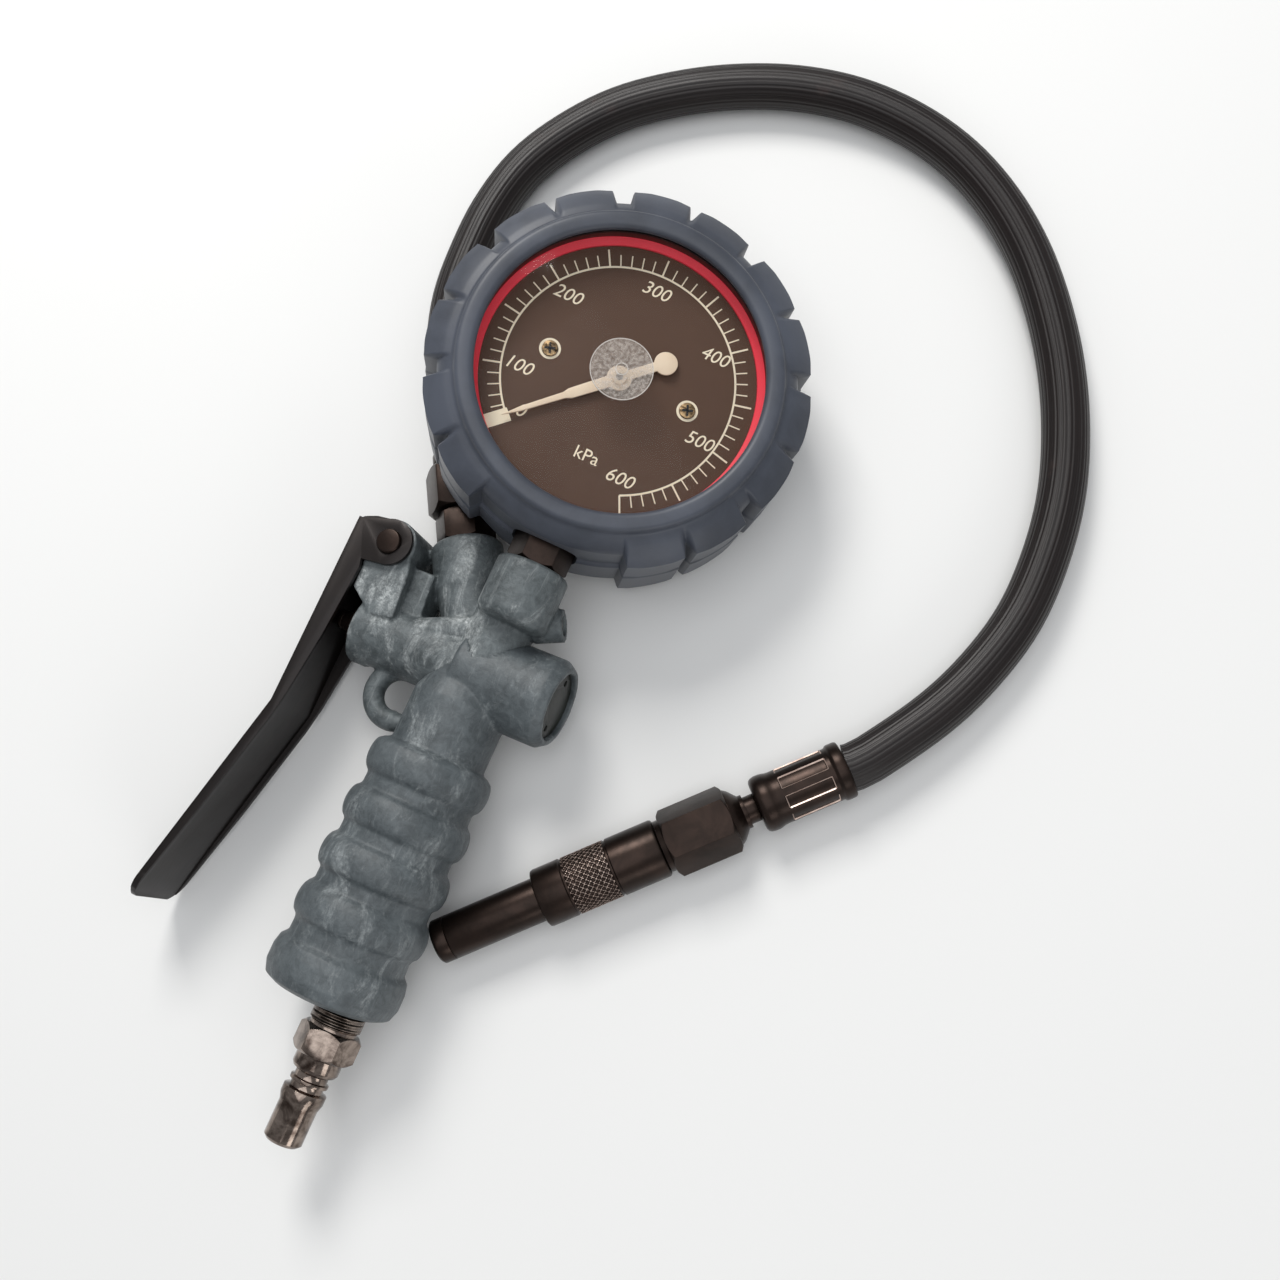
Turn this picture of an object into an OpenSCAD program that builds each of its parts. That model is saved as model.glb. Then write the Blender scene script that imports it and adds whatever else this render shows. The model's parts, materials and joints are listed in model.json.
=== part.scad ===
// Tyre inflator: a trigger valve with a ribbed grip, a dial gauge in a rubber boot,
// and a hose with a push-on chuck.
// The Y axis is the axis of the air inlet, and Y = 0 is the front of the inlet plug's sealing nose.
// The tool lies on its back at ground_z, the lowest level that it rests on.

/* [Grip] */
// Radius of the end ring, which rests on the ground
grip_end_r = 17.5; // [16:0.5:21]
// Radius of the narrowest groove between the rings
grip_groove_r = 14.2; // [13.6:0.1:16]
// How far each ring stands out of its groove
ring_rise = 2.1; // [1:0.1:3]
// Distance between two rings
ring_pitch = 13.1; // [11:0.1:15]
// How far the grip stands off the inlet axis, towards the lever
grip_offset = 5; // [4:0.5:6]
// Radius of the neck between the grip and the head
neck_r = 12.6; // [12:0.1:14]

/* [Valve head] */
// Roll of the head about the inlet axis, with the capped end up
body_roll = 5; // [0:1:8]
// Distance from the origin to the valve bore
valve_y = 122; // [118:1:128]
// Radius of the valve tube
valve_tube_r = 8.9; // [8.5:0.1:9.2]
// Radius of the flange beside the lever
flange_r = 9.5; // [9.2:0.1:9.6]
// Outer radius of the rubber over the capped end
tee_r = 11.8; // [11:0.1:13]
// Radius of the two outlet bosses
boss_r = 9.6; // [9:0.1:10.5]
// Distance from the valve bore to the face of the gauge boss
boss_reach = 29.5; // [28:0.5:33]

/* [Lever] */
// Turn of the lever from rest to fully squeezed
lever_turn = 12; // [8:1:13]
// Length of the lever below its pivot
lever_length = 107; // [90:1:120]
// Half the clear width between the lever's cheeks
cheek_gap = 9.8; // [9.7:0.1:11]
// Thickness of the pressed sheet
lever_wall = 1.4; // [1:0.1:1.8]
// Slope of the lower part of the lever
lever_bend = 13; // [8:1:18]
// Radius of the pivot pin
pivot_r = 3; // [2.5:0.1:3.5]

/* [Inlet plug] */
// Radius of the plug's sealing nose
nose_r = 4.9; // [4.5:0.1:5.2]
// Radius of the pipe thread
thread_r = 6.58; // [6.2:0.01:6.6]
// Distance across the flats of the plug's hexagon
plug_af = 14; // [14:1:17]

/* [Gauge] */
// Roll of the gauge about the inlet axis, with the hose side up
gauge_roll = 13; // [12:1:16]
// Outer radius of the gauge case
case_r = 40; // [38:0.5:42]
// Thickness of the case wall
case_wall = 1.2; // [0.8:0.1:1.6]
// Radius of the opening over the dial
window_r = 36.1; // [34:0.1:37]
// Thickness of the boot around the case
boot_wall = 5.2; // [4.5:0.1:6]
// Height of the boot's lugs
lug_rise = 3.8; // [2:0.1:5]
// From the valve bore to the near edge of the gauge's case
gauge_reach = 40.3; // [40:0.1:44]
// Distance across the flats of the gauge stem
stem_af = 14; // [13:1:15]
// Angle of the pointer at zero
zero_angle = 223; // [200:0.5:240]
// Turn of the pointer over the whole scale
scale_sweep = 289; // [240:1:290]
// Teeth of the pinion
pinion_teeth = 10; // [10:1:12]
// Teeth that a whole sector wheel would have
sector_teeth = 70; // [70:1:72]

/* [Hose] */
// Radius of the hose
hose_r = 6.25; // [5.5:0.05:6.5]
// Turn of the hose fitting away from the gauge
fitting_yaw = 31; // [28:1:34]
// Distance across the flats of the swivel nut
nut_af = 17; // [16:1:18]

/* [Chuck] */
// Angle of the chuck to the X axis
chuck_angle = 46; // [40:1:50]
// Radius of the chuck's nose
chuck_nose_r = 5.7; // [5.6:0.1:6.1]
// Radius of the socket for the tyre valve
socket_r = 4.1; // [4:0.05:4.3]
// Radius of the sliding sleeve
sleeve_r = 7.6; // [7.5:0.1:7.7]
// Travel of the sliding sleeve
sleeve_travel = 4; // [2:0.5:5]
// Distance across the flats of the chuck body
chuck_af = 15.5; // [15.4:0.1:17]

/* [Hidden] */
$fn = 64;

running = 0.05;              // radial clearance of what turns or slides
seated = 0.03;               // radial clearance of what is fixed in its seat
rubber_gap = 0.1;            // gap between the rubber sleeve and the casting under it
cut = 0.1;                   // how far a cutting solid runs past a face

// levels: the end ring of the grip rests on the ground
ground_z = -grip_end_r - grip_offset * sin(body_roll);
grip_x = -grip_offset;

// inlet plug, along Y
nose_len = 8.5;
plug_hex_y = 21;
plug_hex_len = 7;
plug_bore_r = 3.4;
thread_y = 28;
thread_len = 18;
grip_y = 33.5;               // the grip's end face
floor_len = 2.6;             // rubber under the casting
casting_y = grip_y + floor_len;
inlet_bore_r = 4;

// the casting inside the grip: a wide foot, and a tube up to the head
foot_x = grip_x + 2.5;
foot_r = 11;
foot_len = 20;
core_x = grip_x + 1.8;
core_r = 9.5;

// grip rings, counted from the neck
ring_half = 4.6;
end_ring_len = 12;
ring_top_y = valve_y - 28.4;
ring_count = 4;
groove_growth = 1.6;         // how much wider the grooves are at the end ring
groove_steps = 48;

// valve bore, along X in the head's own frame
flange_x = -38.5;
flange_t = 4.3;
tube_end_x = 16.4;
tee_x = -8;
tee_end_x = 19.5;
gland_pocket_r = 6.5;
gland_pocket_x = -31;
gland_collar_r = 5.8;
gland_collar_x = -41;
stem_r = 2.6;
chamber_r = 4.5;
seat_x = -14;
seat_t = 3;
seat_r = 6;
seat_hole_r = 3;
cap_x = 9;
cap_r = 7.2;
cap_head_t = 1.8;
poppet_x = seat_x + seat_t + 0.1;

// lever, in the head's own frame
pivot = [-37.5, valve_y + 22];
ear_r = 6.2;
lug_half = cheek_gap - 0.4;
lever_half = cheek_gap + lever_wall;
web_reach = 10.8;            // from the pivot to the lever's outer face
web_x = pivot[0] - web_reach;
web_top = pivot[1] + 4;
bend_y = pivot[1] - 49;
tip_y = pivot[1] - lever_length;
tip_x = web_x - (bend_y - tip_y) * tan(lever_bend);
tip_corner = 6;
button_x = web_x + lever_wall + 0.1;
button_len = 2.2;
stem_travel = (pivot[1] - valve_y) * lever_turn * PI / 180;

// gauge, in the gauge's own frame: the stem runs along -Y at z = 0
gauge_x = 0.5;
gauge_y = valve_y + gauge_reach + case_r;
boot_r = case_r + boot_wall;
lug_r = boot_r + lug_rise;
lug_span = 40;               // degrees
lug_notch = 1.2;             // degrees, half the notch between a lug's two pads
lug_top = 14;
boot_back = -17;
boot_front = 19;
case_back = -13;
case_front = 12.5;
case_in_r = case_r - case_wall;
case_floor = case_back + case_wall;
gauge_z = ground_z - boot_back * cos(gauge_roll) + lug_r * sin(gauge_roll);
boss_y = valve_y + boss_reach;
boss_foot_y = valve_y + 13.5;
port_depth = 13;
stem_hole_r = 5.6;
screw_at = [[-5, -32], [5, -32]];
post_at = [[-18.9, 0], [18.9, 0]];
dial_z = 8.9;
dial_t = 0.6;
dial_top = dial_z + dial_t;
ring_seat_z = dial_top + 0.05;
gasket_z = 14;
lens_z = 14.8;
lens_t = 1.6;
dome_rise = 3.6;
dome_top = lens_z + lens_t + dome_rise;
bezel_lip_z = lens_z + lens_t + 0.1;
bezel_top = bezel_lip_z + 0.7;
plate_z = -2;
plate_t = 1;
plate_gap = 6;
front_plate_z = plate_z + plate_t + plate_gap;
pillar_at = [[-9.5, 4.5], [9.5, 4.5], [-9.5, -31.5], [9.5, -31.5]];
arbor_r = 0.9;
sector_pin_r = 0.9;
tip_pin_r = 0.8;
gear_module = 0.5;
gear_z = 0.8;
gear_t = 1.2;
pinion_r = pinion_teeth * gear_module / 2;
sector_r = sector_teeth * gear_module / 2;
sector_turn = scale_sweep * pinion_teeth / sector_teeth;
sector_pivot = [0, -pinion_r - sector_r];
tail_r = 6;
tail_angle = -20;
tail_pin = sector_pivot + tail_r * [cos(tail_angle), sin(tail_angle)];
tail_rise = tail_r * (sin(tail_angle + sector_turn) - sin(tail_angle));
tail_shift = tail_r * (1 - cos(tail_angle));
tube_r = case_in_r - 11.8;
tube_z = -6;
tube_arc = 270;
tube_tip_angle = -10;
tube_tip = tube_r * [cos(tube_tip_angle), sin(tube_tip_angle)];
link_z = gear_z + gear_t + 0.2;
link_t = 0.8;
link_vec = tube_tip - tail_pin;
pointer_z = 10.6;
pointer_t = 0.6;
pointer_len = 31;

// hose fitting: its own frame has +Z along the fitting, from the face of its boss
port = [-23.5, valve_y + 31, ground_z + 12];
fitting_len = 50;
fitting_bore_r = 2;
ferrule_r = 7.5;
crimp_r = 6.65;              // the ferrule between its two end rings
fitting_dip = asin((port[2] - ground_z - ferrule_r - 0.2) / fitting_len);
adaptor_len = 9;
nut_start = adaptor_len + 0.3;
nut_len = 13;
nut_end = nut_start + nut_len;
hose_boss_len = 27;

// chuck: its own frame has +Z from the mouth of the socket towards the hose
chuck_h = chuck_af / 2;
chuck_place = [12.5, valve_y - 66.2, ground_z + chuck_h];
tip_len = 3.8;
seal_s = 13;
sleeve_s = 28.7;
spigot_s = 33;               // front of the body's spigot
nose_e = 40;                 // rear of the nose
spring_seat = 52;
sleeve_e = 62.2;
body_s = 63.7;
hex_e = 81.5;
body_e = 85.6;
ferrule_s = 88.5;
chuck_len = 113;
cavity_r = 4.9;
spigot_r = 3.5;
spine_r = 4.6;               // the nose's thin rear tube
hose_tail_r = 3.6;           // the hose tail where it enters the body
chuck_bore_r = 1.8;

// hose: it runs straight out of each ferrule, then lies along these points,
// X and Y from the valve bore and height over the ground
lead = 6;
hose_bore = 3;
hose_sides = 12;
route = [[-56.2, 85.5, 6.9], [-59.8, 96.5, 6.5], [-61.8, 109, 6.4], [-61.8, 125, 6.4],
    [-58, 141, 6.4], [-50.5, 155, 6.4], [-40, 167.5, 6.4], [-26.5, 177.5, 6.4],
    [-11, 185.5, 6.4], [6, 191, 6.4], [23.5, 193, 6.4], [41, 191, 6.4],
    [57, 185.5, 6.4], [71.5, 176.5, 6.4], [84, 165, 6.4], [94.5, 151.5, 6.4],
    [103.5, 136.5, 6.4], [110.5, 120.5, 6.4], [115.5, 103.5, 6.4], [117.8, 86, 6.4],
    [117, 68.5, 6.4], [112.8, 52, 6.4], [106, 36.5, 6.8]];

// frames
module in_head() rotate([0, -body_roll, 0]) children();
module in_valve() in_head() translate([0, valve_y, 0]) rotate([0, 90, 0]) children();
module at_pivot() translate([pivot[0], pivot[1], 0]) children();
module in_gauge()
    translate([gauge_x, gauge_y, gauge_z]) rotate([0, gauge_roll, 0]) children();
module in_fitting() translate(port) rotate([-90 - fitting_dip, 0, fitting_yaw]) children();
module in_chuck() translate(chuck_place) rotate([0, 90, chuck_angle]) children();
module along_y(y = 0) translate([0, y, 0]) rotate([-90, 0, 0]) children();
module at_gauge_axis(y) translate([gauge_x, 0, gauge_z]) along_y(y) children();

// shared shapes
module ring(r_out, r_in, h) difference() {
    cylinder(r = r_out, h = h);
    translate([0, 0, -cut]) cylinder(r = r_in, h = h + 2 * cut);
}
module hexagon(af, h) cylinder(r = af / 2 / cos(30), h = h, $fn = 6);
// a hexagon whose corners are turned down at both ends
module hex_bar(af, h, turn = 1) intersection() {
    hexagon(af, h);
    turned([[0, 0], [af / 2 - 0.1, 0], [af / 2 / cos(30), turn],
        [af / 2 / cos(30), h - turn], [af / 2 - 0.1, h], [0, h]]);
}
module turned(points) rotate_extrude() polygon(points);
module o_ring(r, wire) rotate_extrude() translate([r, 0]) circle(r = wire, $fn = 24);
// a rounded rectangle with its centre at the origin
module plate_outline(w, h, r) union() {
    square([w - 2 * r, h], center = true);
    square([w, h - 2 * r], center = true);
    for (i = [-1, 1], j = [-1, 1])
        translate([i * (w / 2 - r), j * (h / 2 - r)]) circle(r = r, $fn = 32);
}

// a round tube through a list of points
function unit(v) = v / norm(v);
function heading(p, i) = unit(p[min(i + 1, len(p) - 1)] - p[max(i - 1, 0)]);
function across(d) = unit(cross(abs(d[2]) < 0.9 ? [0, 0, 1] : [1, 0, 0], d));
function tube_ring(p, i, r, n) = let (d = heading(p, i), a = across(d), b = cross(d, a))
    [for (k = [0:n - 1]) p[i] + r * (cos(360 * k / n) * a + sin(360 * k / n) * b)];
module swept_tube(p, r, n) polyhedron(
    points = [for (i = [0:len(p) - 1]) each tube_ring(p, i, r, n)],
    faces = concat([[for (k = [0:n - 1]) k]],
        [for (i = [0:len(p) - 2], k = [0:n - 1])
            [i * n + k, (i + 1) * n + k, (i + 1) * n + (k + 1) % n, i * n + (k + 1) % n]],
        [[for (k = [n - 1:-1:0]) (len(p) - 1) * n + k]]));
// a helical spring along Z
module coil_spring(r, wire, z0, z1, turns, steps = 12) swept_tube(
    [for (i = [0:turns * steps]) [r * cos(360 * i / steps), r * sin(360 * i / steps),
        z0 + wire + (z1 - z0 - 2 * wire) * i / (turns * steps)]], wire, 6);

// ---- valve head
module handle_core(gap = 0) in_head() {
    translate([foot_x, 0, 0]) along_y(casting_y) cylinder(r = foot_r + gap, h = foot_len + gap);
    translate([core_x, 0, 0]) along_y(casting_y) cylinder(r = core_r + gap, h = valve_y - casting_y);
}
module valve_tube() in_valve() {
    tube_x = flange_x + flange_t - 0.5;
    translate([0, 0, tube_x]) cylinder(r = valve_tube_r, h = tube_end_x - tube_x);
    translate([0, 0, flange_x]) cylinder(r = flange_r, h = flange_t);
}
module gauge_boss(extra = 0) {
    h = boss_y - boss_foot_y;
    at_gauge_axis(boss_foot_y) turned([[0, 0], [boss_r - 2.6 + extra, 0],
        [boss_r - 0.9 + extra, 0.7], [boss_r + extra, 2.4], [boss_r + extra, h - 1],
        [boss_r - 1 + extra, h], [0, h]]);
    in_head() translate([-2, 0, 3]) along_y(valve_y) cylinder(r = 8.2 + extra, h = 16.5);
}
module hose_boss(extra = 0) in_fitting() translate([0, 0, -hose_boss_len])
    turned([[0, 0], [boss_r - 2.1 + extra, 0], [boss_r - 0.5 + extra, 13],
        [boss_r + extra, 14], [boss_r + extra, hose_boss_len - 1],
        [boss_r - 1 + extra, hose_boss_len], [0, hose_boss_len]]);
// the boss of the drilled passage that joins the two ports
passage_start = [-24, valve_y + 3, 4.5];
passage_end = [12.5, valve_y + 19.5, 2.5];
passage_vec = passage_end - passage_start;
passage_len = norm(passage_vec);
module in_passage() in_head() translate(passage_start)
    rotate([0, acos(passage_vec[2] / passage_len), atan2(passage_vec[1], passage_vec[0])])
        children();
module passage_boss(extra = 0) in_passage() {
    cylinder(r = 3.7 + extra, h = passage_len - 1);
    translate([0, 0, passage_len - 8]) cylinder(r = 4.3 + extra, h = 8);
}
// the ear that carries the lever, with a thinner web behind it
module lever_lug() in_head() {
    translate([0, 0, -lug_half]) linear_extrude(2 * lug_half) polygon([
        [pivot[0] - 5.7, pivot[1] + 2], [pivot[0] - 4.7, valve_y + 8],
        [pivot[0] + 2.5, valve_y + 3], [pivot[0] + 9, valve_y + 4],
        [pivot[0] + 8, valve_y + 16], [pivot[0] + 4.5, pivot[1] + 5]]);
    translate([0, 0, -5.5]) linear_extrude(11) polygon([
        [pivot[0], valve_y + 2], [pivot[0] + 15, valve_y + 2], [pivot[0] + 13, valve_y + 19],
        [pivot[0] + 4, valve_y + 19]]);
    at_pivot() translate([0, 0, -lug_half]) cylinder(r = 6.7, h = 2 * lug_half);
}
// the hanging loop: a bent bar from the valve tube round to the handle
loop_r = 6.8;
loop_bar = 2.8;
loop_at = [-21.8, valve_y - 13];
module hang_loop(extra = 0) in_head() translate([loop_at[0], loop_at[1], 0]) {
    rotate([0, 0, 95]) rotate_extrude(angle = 195)
        translate([loop_r, 0]) circle(r = loop_bar + extra, $fn = 32);
    translate([1, 0.3 - loop_r, 0]) rotate([0, 90, 0])
        cylinder(r = loop_bar - 0.3 + extra, h = 10, $fn = 32);
}
module valve_bore() in_valve() {
    translate([0, 0, flange_x - cut])
        cylinder(r = gland_pocket_r, h = gland_pocket_x - flange_x + cut);
    translate([0, 0, gland_pocket_x - cut])
        cylinder(r = chamber_r, h = seat_x - gland_pocket_x + 2 * cut);
    translate([0, 0, seat_x]) cylinder(r = seat_r, h = cap_x - seat_x + 2 * cut);
    translate([0, 0, cap_x]) cylinder(r = cap_r, h = tube_end_x - cap_x + cut);
}
module air_ways() {
    // inlet
    thread_end = thread_y + thread_len;
    in_head() along_y(casting_y - cut)
        cylinder(r = thread_r + seated, h = thread_end - casting_y + 1);
    in_head() along_y(thread_end) cylinder(r = inlet_bore_r, h = valve_y - thread_end - 3);
    // gauge port
    at_gauge_axis(boss_y - port_depth) cylinder(r = thread_r + seated, h = port_depth + cut);
    translate([gauge_x, 0, gauge_z - 5]) along_y(valve_y + 11) cylinder(r = 2, h = 7);
    // hose port
    in_fitting() translate([0, 0, -12]) cylinder(r = thread_r - 1.4 + seated, h = 12 + cut);
    in_head() translate([-19, 0, -3]) along_y(valve_y) cylinder(r = 2, h = 23);
    // drilled passage, closed by the blanking screw
    in_passage() cylinder(r = 1.4, h = passage_len - 5);
    in_passage() translate([0, 0, passage_len - 6]) cylinder(r = 2.5 + seated, h = 6 + cut);
}
module valve_body() color("slategray") difference() {
    union() {
        handle_core();
        valve_tube();
        gauge_boss();
        hose_boss();
        passage_boss();
        lever_lug();
        hang_loop();
    }
    valve_bore();
    air_ways();
    in_head() at_pivot() translate([0, 0, -lug_half - cut])
        cylinder(r = pivot_r + 0.02, h = 2 * lug_half + 2 * cut);
}

// the ribbed rubber grip, with its sleeve over the capped end
function ring_y(i) = ring_top_y - i * ring_pitch;
function groove_r(y) = grip_groove_r
    + groove_growth * max(0, min(1, (ring_top_y - y) / (ring_top_y - grip_y)));
function bulge(y) = let (d = min([for (i = [0:ring_count - 1]) abs(y - ring_y(i))]))
    d < ring_half ? ring_rise * sqrt(1 - pow(d / ring_half, 2)) : 0;
rings_start = grip_y + end_ring_len + 1;
rings_end = ring_top_y + ring_half;
grip_steps = [for (k = [0:groove_steps])
    rings_start + k * (rings_end - rings_start) / groove_steps];
grip_profile = concat([[0, grip_y], [grip_end_r - 3.5, grip_y], [grip_end_r - 1, grip_y + 1.2],
        [grip_end_r, grip_y + 4], [grip_end_r, grip_y + 8], [grip_end_r - 0.6, grip_y + 10.5],
        [groove_r(grip_y + end_ring_len), grip_y + end_ring_len]],
    [for (y = grip_steps) [groove_r(y) + bulge(y), y]],
    [[neck_r, rings_end + 0.6], [neck_r, valve_y - 9], [neck_r - 3, valve_y], [0, valve_y]]);
module grip_tee() in_valve() translate([0, 0, tee_x]) turned([[0, 0], [tee_r - 0.8, 0],
    [tee_r, 1], [tee_r, tee_end_x - tee_x - 2.5], [tee_r - 1.6, tee_end_x - tee_x],
    [0, tee_end_x - tee_x]]);
module grip_sleeve() color("slategray") difference() {
    union() {
        in_head() translate([grip_x, 0, 0]) rotate([-90, 0, 0]) turned(grip_profile);
        grip_tee();
    }
    handle_core(seated);
    in_head() along_y(grip_y - cut) cylinder(r = thread_r + 0.6, h = floor_len + 2 * cut);
    in_valve() {
        translate([0, 0, flange_x])
            cylinder(r = valve_tube_r + seated, h = tee_end_x - flange_x + cut);
        translate([0, 0, flange_x - 1])
            cylinder(r = flange_r + rubber_gap, h = flange_t + 1 + rubber_gap);
    }
    gauge_boss(rubber_gap);
    passage_boss(rubber_gap);
    hose_boss(rubber_gap);
    hang_loop(rubber_gap);
}

// ---- valve gear
module gland_nut() color("#4a3630") in_valve() difference() {
    union() {
        translate([0, 0, flange_x])
            cylinder(r = gland_pocket_r - seated, h = gland_pocket_x - flange_x - 0.1);
        translate([0, 0, gland_collar_x])
            cylinder(r = gland_collar_r, h = flange_x - gland_collar_x);
    }
    translate([0, 0, gland_collar_x - cut]) cylinder(r = stem_r + running, h = 12);
    translate([0, 0, gland_pocket_x - 5]) cylinder(r = stem_r + 1.4, h = 1.6);
}
module gland_seal() color("black") in_valve()
    translate([0, 0, gland_pocket_x - 4.2]) o_ring(stem_r + 0.72, 0.62);
module valve_seat() color("goldenrod") in_valve()
    translate([0, 0, seat_x]) ring(seat_r - seated, seat_hole_r, seat_t);
module valve_end_cap() color("#1b1d1b") in_valve() difference() {
    union() {
        translate([0, 0, cap_x]) cylinder(r = cap_r - running, h = tube_end_x - cap_x + 0.1);
        translate([0, 0, tube_end_x + 0.1]) cylinder(r = valve_tube_r - 0.2, h = cap_head_t);
    }
    // two holes for a pin spanner, and the seal's groove
    for (s = [-1, 1]) translate([0, s * 6.2, tube_end_x]) cylinder(r = 0.8, h = 5, $fn = 24);
    translate([0, 0, tube_end_x - 3]) ring(cap_r + 1, cap_r - 1.5, 1.6);
}
module end_cap_seal() color("black") in_valve()
    translate([0, 0, tube_end_x - 2.2]) o_ring(cap_r - 0.76, 0.66);
module poppet_spring() color("silver") in_valve()
    coil_spring(4.6, 0.45, poppet_x + 2.6 + stem_travel, cap_x - 0.05, 5);
module blanking_screw() color("dimgray") in_passage() translate([0, 0, passage_len - 5])
    difference() {
        cylinder(r = 2.5, h = 4.2);
        translate([0, 0, 2.4]) hexagon(2.5, 3);
    }
module pivot_pin() color("#2a2622") in_head() at_pivot() difference() {
    union() {
        translate([0, 0, -lever_half - 1.3]) cylinder(r = pivot_r, h = 2 * lever_half + 1.4);
        translate([0, 0, lever_half + 0.1]) turned([[0, 0], [pivot_r + 0.35, 0],
            [pivot_r + 0.35, 0.5], [pivot_r, 0.9], [0, 0.9]]);
    }
    translate([0, 0, -lever_half - 0.9]) ring(pivot_r + 1, pivot_r - 0.6, 0.7);
}
module pivot_clip() color("dimgray") in_head() at_pivot()
    translate([0, 0, -lever_half - 0.85]) difference() {
        ring(pivot_r + 1.9, pivot_r - 0.55, 0.6);
        translate([0, -1.6, -cut]) cube([10, 3.2, 1]);
    }
module inlet_nipple() color("#cbb8a6") in_head() difference() {
    union() {
        along_y() turned([[0, -0.8], [nose_r - 0.8, -0.8], [nose_r, 0], [nose_r, nose_len],
            [nose_r + 0.6, nose_len + 1.9], [nose_r + 0.6, 12.4], [nose_r - 0.7, 12.7],
            [nose_r - 0.7, 14], [nose_r, 14.2], [nose_r, 15], [nose_r - 0.7, 15.2],
            [nose_r - 0.7, 16.6], [nose_r + 0.5, 17.2], [nose_r + 1, 18],
            [nose_r + 1, plug_hex_y], [0, plug_hex_y]]);
        along_y(plug_hex_y) rotate([0, 0, 12]) hex_bar(plug_af, plug_hex_len, 1.1);
        along_y(thread_y) cylinder(r = thread_r - 0.5, h = 1.2);
        along_y(thread_y + 1.2) cylinder(r = thread_r, h = thread_len - 1.4);
    }
    along_y(-1) cylinder(r = plug_bore_r, h = thread_y + thread_len + 2);
}
module inlet_strainer() color("goldenrod") in_head() along_y(thread_y + thread_len + 1.2)
    difference() {
        turned([[0, 0], [inlet_bore_r - 0.1, 0], [inlet_bore_r - 0.1, 1.2], [2.6, 1.2],
            [1.6, 11], [0, 11]]);
        translate([0, 0, -cut]) turned([[0, 0], [2.2, 0], [1.2, 10.4], [0, 10.4]]);
    }

// ---- lever
function slope_x(y) = web_x - max(0, bend_y - y) * tan(lever_bend);
// depth of the cheeks below the web's outer face, by distance from the bend
cheek_stops = [[tip_y - bend_y + 3, 1.7], [-30, 2.6], [-4, 2.8], [3, 3.1], [20, 5], [40, 6.2]];
module lever_cheek() {
    polygon(concat([[web_x + 1.5, web_top], [web_x, web_top - 1.5], [web_x, bend_y],
            [tip_x, tip_y], [tip_x + 1.5, tip_y - 0.3], [tip_x + 1.9, tip_y + 0.8]],
        [for (stop = cheek_stops) [slope_x(bend_y + stop[0]) + stop[1], bend_y + stop[0]]],
        [[pivot[0] - 5.2, bend_y + 42.2], [pivot[0], pivot[1] - ear_r],
            [pivot[0], pivot[1] + ear_r - 0.2], [pivot[0] - 6, web_top + 1.2]]));
    translate(pivot) circle(r = ear_r);
}
module lever_web() polygon([[web_x, web_top - 0.5], [web_x, bend_y], [tip_x, tip_y - 0.5],
    [tip_x + lever_wall / cos(lever_bend), tip_y - 0.5], [web_x + lever_wall, bend_y],
    [web_x + lever_wall, web_top - 0.5]]);
// the web seen square on, with a rounded tip
module lever_front() {
    half = lever_half - tip_corner;
    translate([-lever_half, tip_y + tip_corner])
        square([2 * lever_half, web_top - tip_y - tip_corner]);
    translate([-half, tip_y - 1]) square([2 * half, tip_corner + 2]);
    for (i = [-1, 1]) translate([i * half, tip_y + tip_corner - 1])
        circle(r = tip_corner, $fn = 48);
}
module lever() color("#332a25") in_head() difference() {
    intersection() {
        union() {
            translate([0, 0, -lever_half]) linear_extrude(2 * lever_half) lever_web();
            for (z = [-lever_half, cheek_gap])
                translate([0, 0, z]) linear_extrude(lever_wall) lever_cheek();
        }
        union() {
            translate([-90, 0, 0]) rotate([90, 0, 90]) linear_extrude(90 + web_x + 14)
                mirror([1, -1, 0]) lever_front();
            translate([pivot[0] - 9, pivot[1] - 12, -lever_half]) cube([20, 26, 2 * lever_half]);
        }
    }
    at_pivot() translate([0, 0, -lever_half - cut])
        cylinder(r = pivot_r + 0.06, h = 2 * lever_half + 2 * cut);
}

// ---- sliding stem
land_r = chamber_r - 0.08;
module valve_stem() color("#8a6a4a") in_valve() turned([[0, button_x + button_len],
    [stem_r, button_x + button_len], [stem_r, -29.5], [land_r, -29.4], [land_r, -27.2],
    [land_r - 1.42, -27.2], [land_r - 1.42, -25.2], [land_r, -25.2], [land_r, -23.2],
    [1.8, -21], [1.8, poppet_x], [0, poppet_x]]);
module stem_button() color("#6b4a3a") in_valve() turned([[0, button_x], [1.4, button_x + 0.15],
    [2.2, button_x + 0.6], [stem_r, button_x + 1.3], [stem_r, button_x + button_len],
    [0, button_x + button_len]]);
module stem_seals() color("black") in_valve()
    translate([0, 0, -26.2]) o_ring(chamber_r - 0.78, 0.68);
module poppet() color("darkslategray") in_valve() translate([0, 0, poppet_x])
    turned([[0, 0], [4.8, 0], [4.8, 1.9], [4.4, 2.5], [2, 2.5], [2, 8.4], [0, 8.4]]);

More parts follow.
